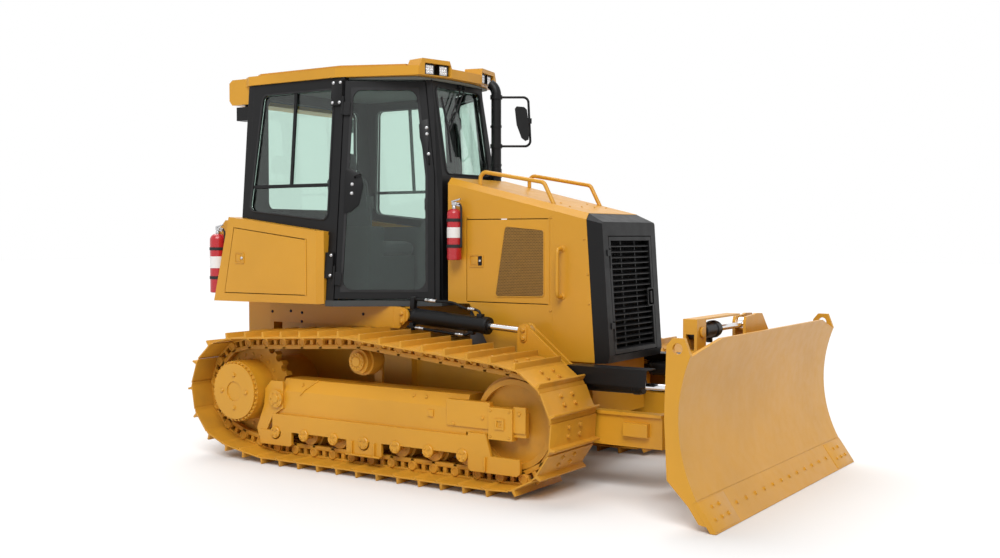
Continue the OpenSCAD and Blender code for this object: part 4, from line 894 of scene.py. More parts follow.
@dataclass
class Chain:
    """Track chain: its path round four circles, its shoes and its links, in millimetres."""

    gauge: float = 1715.0
    shoe_width: float = 546.0
    count: int = 39
    pin_radius: float = 337.0
    tip: float = 86.0
    plate: Flat = (38.0, 48.0)
    rail_drop: float = 46.0
    rail_inner: float = 48.0
    rail_width: float = 40.0
    roller: Flat = (-1260.2, 74.0)
    idler_x: float = 728.0
    carrier: Point = (-511.0, 738.0, 85.0)
    sprocket: Flat = (-1550.0, 477.0)
    grouser_at: float = 0.12

    def circles(self) -> list[Point]:
        """The four circles that the pin line runs round, as x, z and radius.

        Returns:
            The rear roller, the idler, the carrier roller and the sprocket.
        """
        low = self.rail_drop + self.roller[1]
        return [
            (self.roller[0], self.tip + low, low),
            (self.idler_x, self.tip + self.pin_radius, self.pin_radius),
            (self.carrier[0], self.carrier[1], self.rail_drop + self.carrier[2]),
            (*self.sprocket, self.pin_radius),
        ]

    def stretches(self) -> list[tuple[float, float, float, Flat]]:
        """Each straight run with the bend after it.

        Returns:
            For each: its length, the bend's length, the heading of its outward normal, and its start.
        """
        circles = self.circles()
        runs = []
        for (x0, z0, r0), (x1, z1, r1) in zip(circles, circles[1:] + circles[:1]):
            reach = math.hypot(x1 - x0, z1 - z0)
            normal = math.atan2(z1 - z0, x1 - x0) - math.pi / 2 - math.asin((r1 - r0) / reach)
            start = (x0 + r0 * math.cos(normal), z0 + r0 * math.sin(normal))
            runs.append((math.sqrt(reach**2 - (r1 - r0) ** 2), normal, start))
        made = []
        for index, (length, normal, start) in enumerate(runs):
            turn = (runs[(index + 1) % len(runs)][1] - normal) % (2 * math.pi)
            made.append((length, circles[(index + 1) % len(circles)][2] * turn, normal, start))
        return made

    def pins(self) -> list[Flat]:
        """The chain's pins in x and z, one of them over the carrier roller.

        Returns:
            The pins in order along the chain.
        """
        runs, circles = self.stretches(), self.circles()
        total = sum(length + arc for length, arc, _, _ in runs)
        pitch = total / self.count
        over = sum(length + arc for length, arc, _, _ in runs[:2]) - runs[1][1] / 2
        return [self.point((over + k * pitch) % total, runs, circles) for k in range(self.count)]

    @staticmethod
    def point(along: float, runs: list, circles: list) -> Flat:
        """A point on the pin line.

        Args:
            along: Distance from the start of the first run.
            runs: The stretches.
            circles: The circles.

        Returns:
            Its x and z.
        """
        for index, (length, arc, normal, start) in enumerate(runs):
            if along <= length:
                ahead = normal + math.pi / 2
                return (start[0] + along * math.cos(ahead), start[1] + along * math.sin(ahead))
            along -= length
            x, z, radius = circles[(index + 1) % len(circles)]
            if along <= arc:
                heading = normal + along / radius
                return (x + radius * math.cos(heading), z + radius * math.sin(heading))
            along -= arc
        return runs[0][3]

    def places(self, side: Side) -> tuple[list[Matrix], float]:
        """Where each pitch of one chain starts, and the pitch: X along the chain, Z outward.

        Args:
            side: Side of the machine.

        Returns:
            The places in order, and the pitch.
        """
        pins = self.pins()
        made = []
        for here, after in zip(pins, pins[1:] + pins[:1]):
            along = Vector((after[0] - here[0], 0, after[1] - here[1])).normalized()
            outward = Vector((along.z, 0, -along.x))
            made.append(facing((here[0], side.value * self.gauge / 2, here[1]), along, outward))
        pitch = math.dist(pins[0], pins[1])
        return made, pitch

    def shoe(self, pitch: float) -> Shape:
        """One shoe with its lip, grouser and bolts, from its pin.

        Args:
            pitch: Distance from pin to pin.

        Returns:
            The shoe in the frame of its pin.
        """
        low, high = self.plate
        at = self.grouser_at * pitch
        end = pitch + 2
        half = self.shoe_width / 2
        section = [(-20, low - 14), (-10, low - 4), (at - 14, low), (end - 22, low), (end, low + 3),
                   (end, high), (at + 16, high), (at + 9, high + 4), (at + 6.5, self.tip),
                   (at - 6.5, self.tip), (at - 10, high + 2), (-10, high - 6), (-20, low - 6)]
        shape = Shape()
        shape.prism(section, -half, half, 1.5, FACE)
        middle = self.rail_inner + self.rail_width / 2
        for across in (-1, 1):
            for share in (0.45, 0.78):
                seat = Matrix.Translation((share * pitch, across * middle, high))
                shape.lathe([(17, 0), (17, 3), (13, 3), (13, 12), (10, 14)], seat, 8)
        return shape

    def link(self, pitch: float) -> Shape:
        """The two link plates of one pitch with their pin bosses and windows.

        Args:
            pitch: Distance from pin to pin.

        Returns:
            The links in the frame of their pin.
        """
        shape = Shape()
        inner, outer = self.rail_inner, self.rail_inner + self.rail_width
        rail, seat = -self.rail_drop, self.plate[0]
        for across in (-1, 1):
            near, far = sorted((across * inner, across * outer))
            shape.block((-14, near, rail), (pitch + 14, far, rail + 30), 3)
            shape.block((6, near, seat - 15), (pitch - 6, far, seat), 2)
            for middle, half in ((0.0, 34), (0.5 * pitch, 14), (pitch, 34)):
                shape.block((middle - half, near + 3, rail + 20), (middle + half, far - 3, seat - 8), 2)
            turn = facing((0, across * (inner - 4), 0), X_AXIS, Vector((0, across, 0)))
            reach = outer - inner + 13
            shape.lathe([(33, 0), (33, reach - 6), (30, reach), (21, reach), (19, reach - 4), (4, reach - 4)],
                        turn, 20)
        return shape

    def dress(self, shop: Workshop) -> None:
        """Makes both chains and lets them stand for the loops.

        Args:
            shop: Where pieces are handed over.
        """
        for side in Side:
            places, pitch = self.places(side)
            word = side.word
            shop.repeat(self.shoe(pitch), f"shoes_{word}", places, TRACK_PAINT, "machine", f"track_{word}")
            shop.repeat(self.link(pitch), f"links_{word}", places, TRACK_PAINT)


class Head(Enum):
    """Bolt heads: radius, height and finish."""

    RIM = (9.0, 12.0, PAINT)
    COVER = (15.0, 11.0, PAINT)
    PLATE = (11.0, 9.0, PAINT)
    SMALL = (7.0, 5.0, PAINT)
    BRIGHT = (9.0, 7.0, STEEL)
    DARK = (9.0, 7.0, BLACK)


@dataclass
class Bolts:
    """Bolt heads, gathered by kind and by the body that carries them."""

    heads: dict[tuple[str, Head], list[Matrix]] = field(default_factory=dict)

    def add(self, body: str, head: Head, places: list[Matrix]) -> None:
        """Keeps seats, with Z out of the surface, for a kind of bolt on a body."""
        self.heads.setdefault((body, head), []).extend(places)

    def pair(self, head: Head, places: list[Matrix], body: str = "machine") -> None:
        """Keeps seats on the right side, and the same ones on the left side."""
        self.add(body, head, places + [MIRRORED @ place @ MIRRORED for place in places])

    def fix(self, shop: Workshop) -> None:
        """Makes one mesh of each kind on each body.

        Args:
            shop: Where pieces are handed over.
        """
        for (body, head), places in self.heads.items():
            radius, height, finish = head.value
            shop.repeat(bolt(radius, height), f"bolts_{head.name.lower()}_{body}", places, finish, body)


def spots(face: Matrix, *points: tuple[float, ...]) -> list[Matrix]:
    """Seats on a face, at points along it, up it and, where given, out of it."""
    return [face @ Matrix.Translation((p[0], p[1], p[2] if len(p) > 2 else 0.0)) for p in points]


@dataclass
class Undercarriage:
    """Covers, caps and bolts of the final drives, rollers and roller frames."""

    sprocket: Flat = (-1550.0, 477.0)
    hub_step: float = -1060.0
    hub_face: float = -1080.0
    sprocket_face: float = -886.5
    pivot: Point = (-1208.0, -1019.5, 443.0)
    carrier: Point = (-511.0, -967.5, 738.0)
    roller: Point = (-1218.0, -1007.2, 206.3)
    roller_step: float = 267.0
    roller_count: int = 7
    skirt_face: float = -1007.5
    beam_face: float = -985.5
    panel_face: float = -995.5
    block_face: float = -1011.5
    block: Flat = (668.0, 428.0)
    ribbed_guard: float = -417.0
    rim_bolts: tuple[float, int] = (206.0, 36)
    cover_bolts: tuple[float, int] = (118.0, 4)
    sprocket_bolts: tuple[float, int] = (250.0, 20)
    pivot_bolts: tuple[float, int] = (46.0, 6)
    carrier_bolts: tuple[float, int] = (48.0, 12)
    roller_bolts: tuple[float, int] = (26.0, 4)

    def roller_ends(self, out: float = 0.0) -> list[Matrix]:
        """Outer ends of the bottom rollers, moved out by a distance."""
        x, y, z = self.roller
        return [turned((x + k * self.roller_step, y - out, z), UPRIGHT) for k in range(self.roller_count)]

    def bolt_up(self, bolts: Bolts) -> None:
        """Sets the bolts on both sides.

        Args:
            bolts: Where bolts are gathered.
        """
        x, z = self.sprocket
        step, face, rim = (turned((x, y, z), UPRIGHT)
                           for y in (self.hub_step, self.hub_face, self.sprocket_face))
        bolts.pair(Head.RIM, around(step, *self.rim_bolts))
        bolts.pair(Head.COVER, around(face, *self.cover_bolts))
        bolts.pair(Head.PLATE, around(rim, *self.sprocket_bolts))
        bolts.pair(Head.SMALL, around(turned(self.pivot, UPRIGHT), *self.pivot_bolts))
        bolts.pair(Head.SMALL, around(turned(self.carrier, UPRIGHT), *self.carrier_bolts))
        corners = [(self.block[0] + a, self.block[1] + b) for a in (-68, 68) for b in (-80, 80)]
        bolts.pair(Head.SMALL, spots(wall(self.block_face), *corners, self.block))
        bolts.pair(Head.PLATE, spots(wall(self.panel_face), (307, 400), (530, 453), (800, 500)))
        slope = Vector((0, -0.863, 0.505))
        for along in (-1000, -33, 71):
            seat = facing((along, -958.6, 546), X_AXIS, slope)
            bolts.pair(Head.PLATE, [seat])
        for end in self.roller_ends(12):
            bolts.pair(Head.SMALL, around(end, *self.roller_bolts, 45))

    def caps(self) -> Shape:
        """Caps of the rollers, carrier and pivot, the socket frame, guard ribs, a clip and a bent rod.

        Returns:
            The caps on both sides.
        """
        shape = Shape()
        for end in self.roller_ends():
            shape.lathe([(42, -4), (42, 8), (38, 12), (12, 12), (10, 9), (3, 9)], end, 28)
        shape.lathe([(34, -2), (34, 5), (30, 9), (4, 9)], turned(self.carrier, UPRIGHT), 28)
        shape.lathe([(30, -2), (30, 4), (26, 7), (4, 7)], turned(self.pivot, UPRIGHT), 28)
        x, z = self.block
        square, hollow = (rectangle(x - half, z - half, x + half, z + half) for half in (34, 20))
        shape.ring(square, hollow, -2, 7, wall(self.block_face))
        shape.block((102, self.beam_face - 9, 427), (146, self.beam_face + 2, 471), 2)
        guard, out = self.ribbed_guard, self.skirt_face
        for along in (guard - 96, guard + 96, 560.0):
            shape.block((along - 6, out - 16, 126), (along + 6, out + 2, 214), 2)
        shape.block((guard - 146, out - 18, 117), (guard + 146, out + 2, 128), 2)
        shape.tube([(-1000, -990, 482), (-982, -990, 496), (-964, -980, 520), (-872, -938, 586)], 6, 8, 12)
        return shape.mirrored()

    def dress(self, shop: Workshop, bolts: Bolts) -> None:
        """Makes the caps and sets the bolts."""
        self.bolt_up(bolts)
        shop.put(self.caps(), "roller_caps", PAINT)


@dataclass
class EngineBay:
    """Mesh panels, latches, handles, cooler fins and bolts of the hood."""

    side_y: float = -380.0
    mesh: tuple[Flat, ...] = ((294.0, 1647.0), (600.0, 1619.0), (601.0, 1179.0), (214.0, 1168.0))
    mesh_corner: float = 24.0
    cooler: Point = (353.0, 39.0, 851.0)
    fin_count: int = 30
    hole_pitch: float = 12.0
    hole_radius: float = 4.2
    latch: Box = (2.0, 1368.0, 120.0, 1454.0)
    handle: Point = (738.0, 1186.0, 1497.0)
    handle_reach: float = 66.0
    grille_box: Box = (200.0, 340.0, 296.0, 462.0)

    def holes(self, outline: list[Flat]) -> list[Matrix]:
        """Places of dark discs, painted shade where the mesh's holes are, in staggered rows inside the
        outline.

        Args:
            outline: Outline of the mesh.

        Returns:
            The discs of the right side.
        """
        face = wall(self.side_y - 1.5)
        rise = self.hole_pitch * math.sqrt(3) / 2
        low, high = min(y for _, y in outline), max(y for _, y in outline)
        left, right = min(x for x, _ in outline), max(x for x, _ in outline)
        made = []
        for row in range(int((high - low) / rise)):
            y = low + (row + 0.5) * rise
            for step in range(int((right - left) / self.hole_pitch)):
                x = left + (step + 0.5 * (row % 2) + 0.5) * self.hole_pitch
                if inside(outline, x, y):
                    made += spots(face, (x, y))
        return made

    def door(self, shop: Workshop, side: Side) -> None:
        """Dresses one engine door with its mesh, the mesh's bead and its latch.

        Args:
            shop: Where pieces are handed over.
            side: Side of the machine.
        """
        body, turn = f"engine_door_{side.word}", flip(side)
        face = turn @ wall(self.side_y)
        outline = fillet(list(self.mesh), self.mesh_corner)
        # The sheet's MESH paint is darker than the hood's yellow: painted shade of the engine bay seen
        # through the holes.
        sheet = Shape().prism(outline, -1, 1.5, 0, face)
        shop.put(sheet, f"mesh_sheet_{side.word}", MESH, body)
        # The sheet is not cut: dark hexagon discs laid on it are painted shade where the mesh's holes are.
        hexagon = [(self.hole_radius * c, self.hole_radius * s) for c, s in circle(6)]
        places = [turn @ place @ turn for place in self.holes(outline)]
        shop.repeat(Shape().prism(hexagon, 0, 0.5, 0), f"mesh_holes_{side.word}", places, SHADE, body)
        x0, z0, x1, z1 = self.latch
        trim = Shape().bead(outline, 4, face).frame(self.latch, 9, -1, 5, face)
        trim.prism(rectangle(x0 + 16, z0 + 16, x1 - 48, z1 - 16, 6), -1, 4, 1, face)
        shop.put(trim, f"door_trim_{side.word}", PAINT, body)
        lock = Shape().block((x1 - 44, z0 + 12, -1), (x1 - 14, z1 - 12, 3), 1, face)
        shop.put(lock, f"door_lock_{side.word}", BLACK, body)
        seat = face @ Matrix.Translation((x1 - 29, (z0 + z1) / 2, 0))
        key = Shape().lathe([(9, 0), (9, 7), (6, 9), (2, 9)], seat, 16)
        shop.put(key, f"door_key_{side.word}", STEEL, body)

    def fins(self) -> Shape:
        """Dark cooler face with upright fins, in the pocket behind the grille door.

        Returns:
            The cooler face with its fins.
        """
        half, low, high = self.cooler
        shape = Shape().block((4, -half, low), (12, half, high), 1, GRILLE)
        for k in range(self.fin_count):
            y = (2 * k / (self.fin_count - 1) - 1) * (half - 20)
            shape.block((10, y - 2, low + 8), (30, y + 2, high - 8), 0.5, GRILLE)
        return shape

    def grille_latch(self) -> Shape:
        """Latch frame with its lever at the grille door's free edge.

        Returns:
            The latch.
        """
        face = GRILLE @ Matrix.Translation((112, 0, 0)) @ FRONT
        shape = Shape().frame(self.grille_box, 8, -2, 7, face)
        return shape.block((236, 360, -4), (262, 440, 9), 3, face)

    def dress(self, shop: Workshop, bolts: Bolts) -> None:
        """Makes every fitting of the hood.

        Args:
            shop: Where pieces are handed over.
            bolts: Where bolts are gathered.
        """
        for side in Side:
            self.door(shop, side)
        x, low, high = self.handle
        out = self.side_y - self.handle_reach
        route = [(x, self.side_y + 4, high), (x, out, high), (x, out, low), (x, self.side_y + 4, low)]
        grip = Shape().tube(route, 13, 14, 42)
        for z in (low, high):
            grip.lathe([(22, -1), (22, 4), (15, 7)], turned((x, self.side_y, z), UPRIGHT), 20)
        shop.put(grip.mirrored(), "hood_handles", PAINT)
        shop.put(self.grille_latch(), "grille_latch", BLACK, "grille_door")
        shop.put(self.fins(), "cooler_fins", RUBBER)
        face = wall(self.side_y)
        seats = spots(face, (-11, 1709), (418, 1702), (653, 1700), (651, 1089), (940, 1145), (928, 1333),
                      (900, 1560))
        bolts.pair(Head.SMALL, seats)
        slope = Vector((0.229, 0, 0.973))
        for x, y in ((720, 250), (720, 90), (610, 180)):
            seat = facing((x, -y, 1985 - 0.2355 * (x + 177)), Y_AXIS, slope)
            bolts.pair(Head.SMALL, [seat])


@dataclass
class CabFittings:
    """Seals, latch plates, hinge covers, door stops, beads, wipers, lamps, mirror glass and headliner."""

    door_width: float = 704.2
    seal: Point = (46.0, 64.0, 62.0)
    rear_plate: tuple[Flat, ...] = ((70, 604), (127, 622), (181, 670), (209, 800), (205, 850), (186, 884),
                                    (130, 916), (84, 925))
    front_plate: tuple[Flat, ...] = ((596, 1234), (622, 1264), (664, 1274), (676, 949), (664, 949),
                                     (632, 1028), (602, 1143))
    hinge_covers: tuple[Box, ...] = ((-958, 1368, -862, 1548), (-974, 155, -866, 335))
    side_window: tuple[Flat, ...] = ((-1714, 634), (-1640, 1490), (-950, 1490), (-950, 560))
    screen: Box = (-275.0, 12.0, 275.0, 640.0)
    rear_window: Box = (-520.0, 1780.0, 520.0, 2600.0)
    rear_x: float = -1791.0
    liner_heights: Flat = (2676.0, 2693.0)
    lamp_spots: Flat = (112.0, 238.0)
    mirror: tuple[Flat, ...] = ((152, 2518), (204, 2516), (234, 2350), (226, 2294), (190, 2312), (158, 2404))
    ceiling: tuple[Flat, ...] = ((-1735, -610), (-900, -640), (-400, -440), (-330, -160), (-330, 160),
                                 (-400, 440), (-900, 640), (-1735, 610))

    def door_outline(self, inset: float) -> list[Flat]:
        """Outline of a door's window, set in from the door's edge.

        Args:
            inset: Distance from the edge.

        Returns:
            Corners in the door's frame.
        """
        w = self.door_width
        return [(inset, 12 + inset), (w - inset, 12 + inset), (w - inset, 870),
                (w - 64 - inset, 1540 - inset), (78 + inset, 1540 - inset)]

    def door(self, shop: Workshop, bolts: Bolts, side: Side) -> None:
        """Dresses one cab door with its seal, latch plates and bolts.

        Args:
            shop: Where pieces are handed over.
            bolts: Where bolts are gathered.
            side: Side of the machine.
        """
        body, turn = f"cab_door_{side.word}", flip(side)
        face = turn @ CAB_DOOR @ FACE
        outer, inner, corner = self.seal
        edge, opening = fillet(self.door_outline(outer), 6), fillet(self.door_outline(inner), corner)
        seal = Shape().ring(edge, opening, -13, 3, face)
        shop.put(seal, f"door_seal_{side.word}", RUBBER, body)
        plates = Shape()
        for outline in (self.rear_plate, self.front_plate):
            plates.prism(fillet(list(outline), 9, 3), -13, 6, 2, face)
        plates.tube([(150, 860, 4), (150, 868, 26), (196, 884, 30)], 6, 10, 12, face)
        shop.put(plates, f"latch_plates_{side.word}", BLACK, body)
        seats = spots(face, (131, 813, 6), (127, 749, 6), (650, 1212, 6), (652, 1168, 6), (664, 1028, 6))
        bolts.add(body, Head.BRIGHT, [place @ MIRRORED if side is Side.LEFT else place for place in seats])

    def door_stop(self) -> Shape:
        """Strips on the front posts that the doors close against.

        Returns:
            The strips on both sides.
        """
        w = self.door_width
        strip = [(w - 12, -10), (w + 22, -10), (w + 22, 870), (w - 44, 1550), (w - 78, 1550), (w - 12, 870)]
        return Shape().prism(strip, -48, -40.3, 1, CAB_DOOR @ FACE).mirrored()

    def posts(self, bolts: Bolts) -> Shape:
        """Hinge covers on both door posts, with their bolts.

        Args:
            bolts: Where bolts are gathered.

        Returns:
            The covers on both sides.
        """
        face = CAB_SIDE @ FACE
        shape = Shape()
        for x0, z0, x1, z1 in self.hinge_covers:
            shape.prism(rectangle(x0, z0, x1, z1, 12), -2, 22, 4, face)
            corners = [(x, z, 22) for x in (x0 + 16, x1 - 16) for z in (z0 + 20, z1 - 20)]
            bolts.pair(Head.BRIGHT, spots(face, *corners))
        return shape.mirrored()

    def beads(self) -> Shape:
        """Rubber beads round the side windows, the windscreen and the rear window.

        Returns:
            All the beads.
        """
        shape = Shape().bead(fillet(list(self.side_window), 50), 7, CAB_SIDE @ FACE).mirrored()
        shape.bead(rectangle(*self.screen, 40), 7, SCREEN @ FRONT)
        rear = rectangle(*self.rear_window, 60)
        return shape.tube([(self.rear_x, x, y) for x, y in rear + rear[:1]], 7, 8)

    def wipers(self) -> Shape:
        """Two arms that hang from the windscreen's head, with their blade.

        Returns:
            The arms and the blade.
        """
        face = SCREEN @ FRONT
        shape = Shape()
        for start, end in (((20, 664), (-212, 352)), ((70, 664), (-198, 322))):
            shape.tube([(*start, 4), (*start, 22), (*end, 20)], 5, 8, 8, face)
            shape.lathe([(15, -2), (15, 14), (10, 20)], face @ Matrix.Translation((*start, 0)), 16)
        shape.tube([(-236, 566, 14), (-206, 340, 16), (-222, 96, 14)], 6, 8, 60, face)
        shape.tube([(-236, 566, 8), (-206, 340, 8), (-222, 96, 8)], 4, 6, 60, face)
        return shape

    def lamps(self, shop: Workshop) -> None:
        """Lenses of the work lamps, with rows of small reflectors.

        Args:
            shop: Where pieces are handed over.
        """
        lens, domes = Shape(), []
        for along in self.lamp_spots:
            lens.block((along - 35, 15, 15), (along + 35, 20.5, 78), 1, LAMP_EDGE)
            for x in (-22, 0, 22):
                for z in (28, 47, 66):
                    domes += spots(LAMP_EDGE @ FACE, (along + x, z, -15))
        lens.block((-1953, -640, 2450), (-1949, -560, 2542), 2)
        domes += [MIRRORED @ dome @ MIRRORED for dome in domes]
        shop.put(lens.mirrored(), "lamp_lenses", LENS)
        cup = Shape().lathe([(9.5, 0), (9.5, 1), (7, 2.5), (4, 0.8), (1, 0.8)], segments=12)
        shop.repeat(cup, "lamp_cups", domes, CHROME)

    def dress(self, shop: Workshop, bolts: Bolts) -> None:
        """Makes every fitting of the cab.

        Args:
            shop: Where pieces are handed over.
            bolts: Where bolts are gathered.
        """
        for side in Side:
            self.door(shop, bolts, side)
        shop.put(self.posts(bolts), "hinge_covers", BLACK)
        shop.put(self.beads(), "window_beads", RUBBER)
        shop.put(self.wipers(), "wipers", RUBBER)
        self.lamps(shop)
        glass = Shape().prism(fillet(list(self.mirror), 8), 9.4, 11.2, 0, MIRROR_ARM @ FACE)
        shop.put(glass, "mirror_glass", CHROME)
        liner = Shape().prism(fillet(list(self.ceiling), 30), *self.liner_heights, 6)
        shop.put(liner, "headliner", LINING)
        shop.put(self.door_stop(), "door_stops", RUBBER)


@dataclass
class Seat:
    """Operator's seat: padded cushion, back and headrest."""

    back: Matrix = field(default_factory=lambda: turned((-1345, 0, 1540.9), (-8, "Y")))
    voxel: float = 11.0
    pressure: float = 4.0
    frames: int = 20
    swell: float = 12.0
    quality: int = 3
    seam: Flat = (5.0, 6.0)
    rounding: float = 34.0

    def swollen(self, piece: bpy.types.Object) -> None:
        """Lets a closed pad swell as filled cloth and caps how far it goes.

        Args:
            piece: The pad, changed in place.
        """
        scene = bpy.context.scene
        remesh = piece.modifiers.new("even", "REMESH")
        remesh.mode, remesh.voxel_size = "VOXEL", self.voxel * MM
        settle(piece)
        rest = [vert.co.copy() for vert in piece.data.vertices]
        cloth = piece.modifiers.new("filled", "CLOTH")
        cloth.settings.quality = self.quality
        cloth.settings.use_pressure = True
        cloth.settings.uniform_pressure_force = self.pressure
        cloth.settings.effector_weights.gravity = 0.0
        cloth.point_cache.frame_start, cloth.point_cache.frame_end = 1, self.frames
        for frame in range(1, self.frames + 1):
            scene.frame_set(frame)
        settle(piece)
        scene.frame_set(1)
        for vert, start in zip(piece.data.vertices, rest):
            move = vert.co - start
            if move.length > self.swell * MM:
                vert.co = start + move.normalized() * self.swell * MM
        smooth = piece.modifiers.new("round", "SUBSURF")
        smooth.levels = smooth.render_levels = 1
        settle(piece)

    def groove(self, piece: bpy.types.Object, place: Matrix, lines: list[float], axis: int,
               face: int) -> None:
        """Presses sewn channels into one face of a pad.

        Args:
            piece: The pad.
            place: The pad's own frame.
            lines: Where the channels lie along axis, in millimetres.
            axis: Axis that the channels cross.
            face: Axis that points out of the sewn face.
        """
        away, (width, deep) = place.inverted(), self.seam
        out = (place.to_3x3() @ Vector([float(k == face) for k in range(3)])).normalized()
        for vert in piece.data.vertices:
            own = away @ (vert.co / MM)
            if vert.normal.dot(out) > 0.5:
                depth = sum(math.exp(-(((own[axis] - line) / width) ** 2)) for line in lines)
                vert.co -= out * depth * deep * MM

    def pad(self, shop: Workshop, name: str, box: tuple[Point, Point], place: Matrix, lines: tuple,
            *nodes: str) -> None:
        """Makes one pad.

        Args:
            shop: Where it is handed over.
            name: Name of the piece.
            box: Its lowest and highest corner in its own frame, before it swells.
            place: Its own frame.
            lines: Lines, axis and face of its channels.
            nodes: CAD nodes that it stands for.
        """
        piece = Shape().block(*box, self.rounding, place).object(name)
        self.swollen(piece)
        self.groove(piece, place, *lines)
        piece.data.materials.clear()
        piece.data.materials.append(CLOTH.material())
        soften(piece.data)
        shop.give(piece, CLOTH, "machine", *nodes)

    def dress(self, shop: Workshop) -> None:
        """Makes the pads and the headrest's stays.

        Args:
            shop: Where pieces are handed over.
        """
        gap = self.swell
        self.pad(shop, "cushion_pad", ((-1400 + gap, -240 + gap, 1434), (-900 - gap, 240 - gap, 1540 - gap)),
                 Matrix(), ([-160.0, 160.0], 1, 2), "seat_cushion")
        self.pad(shop, "back_pad", ((-60 + gap, -230 + gap, 20), (50 - gap, 230 - gap, 500)), self.back,
                 ([-150.0, 150.0], 1, 0), "seat_back")
        self.pad(shop, "headrest_pad", ((-50 + gap, -130 + gap, 540), (40 - gap, 130 - gap, 704 - gap)),
                 self.back, ([-90.0, 90.0], 1, 0))
        stays = Shape()
        for y in (-60, 60):
            stays.tube([(-5, y, 480), (-5, y, 560)], 8, 12, place=self.back)
        shop.put(stays, "headrest_stays", STEEL)


@dataclass
class Extinguisher:
    """A hand extinguisher on its bracket, with a blank band."""

    name: str
    at: Flat
    radius: float
    low: float
    high: float
    carrier_y: float
    neck: float = 70.0

    def shell(self) -> Shape:
        """The bottle with its rounded shoulder.

        Returns:
            The bottle.
        """
        r, top = self.radius, self.high - self.neck
        arc = [(r * (0.28 + 0.72 * math.cos(a)), top - r * 0.8 + r * 0.75 * math.sin(a))
               for a in (math.radians(10 * k) for k in range(10))]
        return Shape().lathe([(r * 0.8, self.low), (r * 0.96, self.low + 3), (r, self.low + 9), *arc,
                              (r * 0.26, top + 4)], self.axis(), 40)

    def axis(self) -> Matrix:
        """The bottle's upright axis."""
        return Matrix.Translation((*self.at, 0))

    def valve(self) -> Shape:
        """Neck, valve and the two levers.

        Returns:
            The valve.
        """
        top = self.high - self.neck
        shape = Shape().lathe([(self.radius * 0.3, top - 2), (self.radius * 0.3, top + 14), (13, top + 18),
                               (13, top + 40)], self.axis(), 20)
        shape.block((-12, -16, top + 22), (30, 16, top + 44), 3, self.axis())
        shape.tube([(24, 0, top + 32), (self.radius * 0.92, 0, top + 34)], 8, 10, place=self.axis())
        upper = fillet([(-20, top + 42), (52, top + 58), (54, top + 68), (-20, top + 52)], 3)
        lower = fillet([(-14, top + 26), (48, top + 12), (50, top + 20), (-12, top + 36)], 3)
        for lever, half in ((upper, 9), (lower, 8)):
            shape.prism(lever, -half, half, 1, self.axis() @ FACE)
        return shape

    def hoop(self, shape: Shape, z: float, tall: float, proud: float) -> Shape:
        """Adds a hoop that stands proud of the bottle."""
        near, far = self.radius - 2, self.radius + proud
        return shape.lathe([(near, z), (far, z), (far, z + tall), (near, z + tall)], self.axis(), 40)

    def bracket(self) -> Shape:
        """Straps round the bottle, the back plate and the hose.

        Returns:
            The bracket.
        """
        r, (x, y) = self.radius, self.at
        shape = Shape()
        for share in (0.2, 0.62):
            z = self.low + share * (self.high - self.low)
            self.hoop(shape, z, 22, 3)
            shape.block((x - 18, y + r - 4, z - 4), (x + 18, self.carrier_y, z + 26), 2)
        top = self.high - 40
        hose = [(r * 0.9, 0, top), (r + 8, 0, top - 20), (r + 9, 0, top - 120), (r + 7, 0, self.low + 90)]
        return shape.tube(hose, 7, 10, 22, self.axis())

    def dress(self, shop: Workshop, *nodes: str) -> None:
        """Makes the extinguisher's pieces.

        Args:
            shop: Where pieces are handed over.
            nodes: CAD nodes that the bottle stands for.
        """
        shop.put(self.shell(), f"{self.name}_bottle", RED, "machine", *nodes)
        shop.put(self.valve(), f"{self.name}_valve", STEEL)
        shop.put(self.bracket(), f"{self.name}_bracket", RUBBER)
        tall = self.high - self.low
        band = self.hoop(Shape(), self.low + 0.36 * tall, 0.17 * tall, 0.8)
        shop.put(band, f"{self.name}_band", BAND)


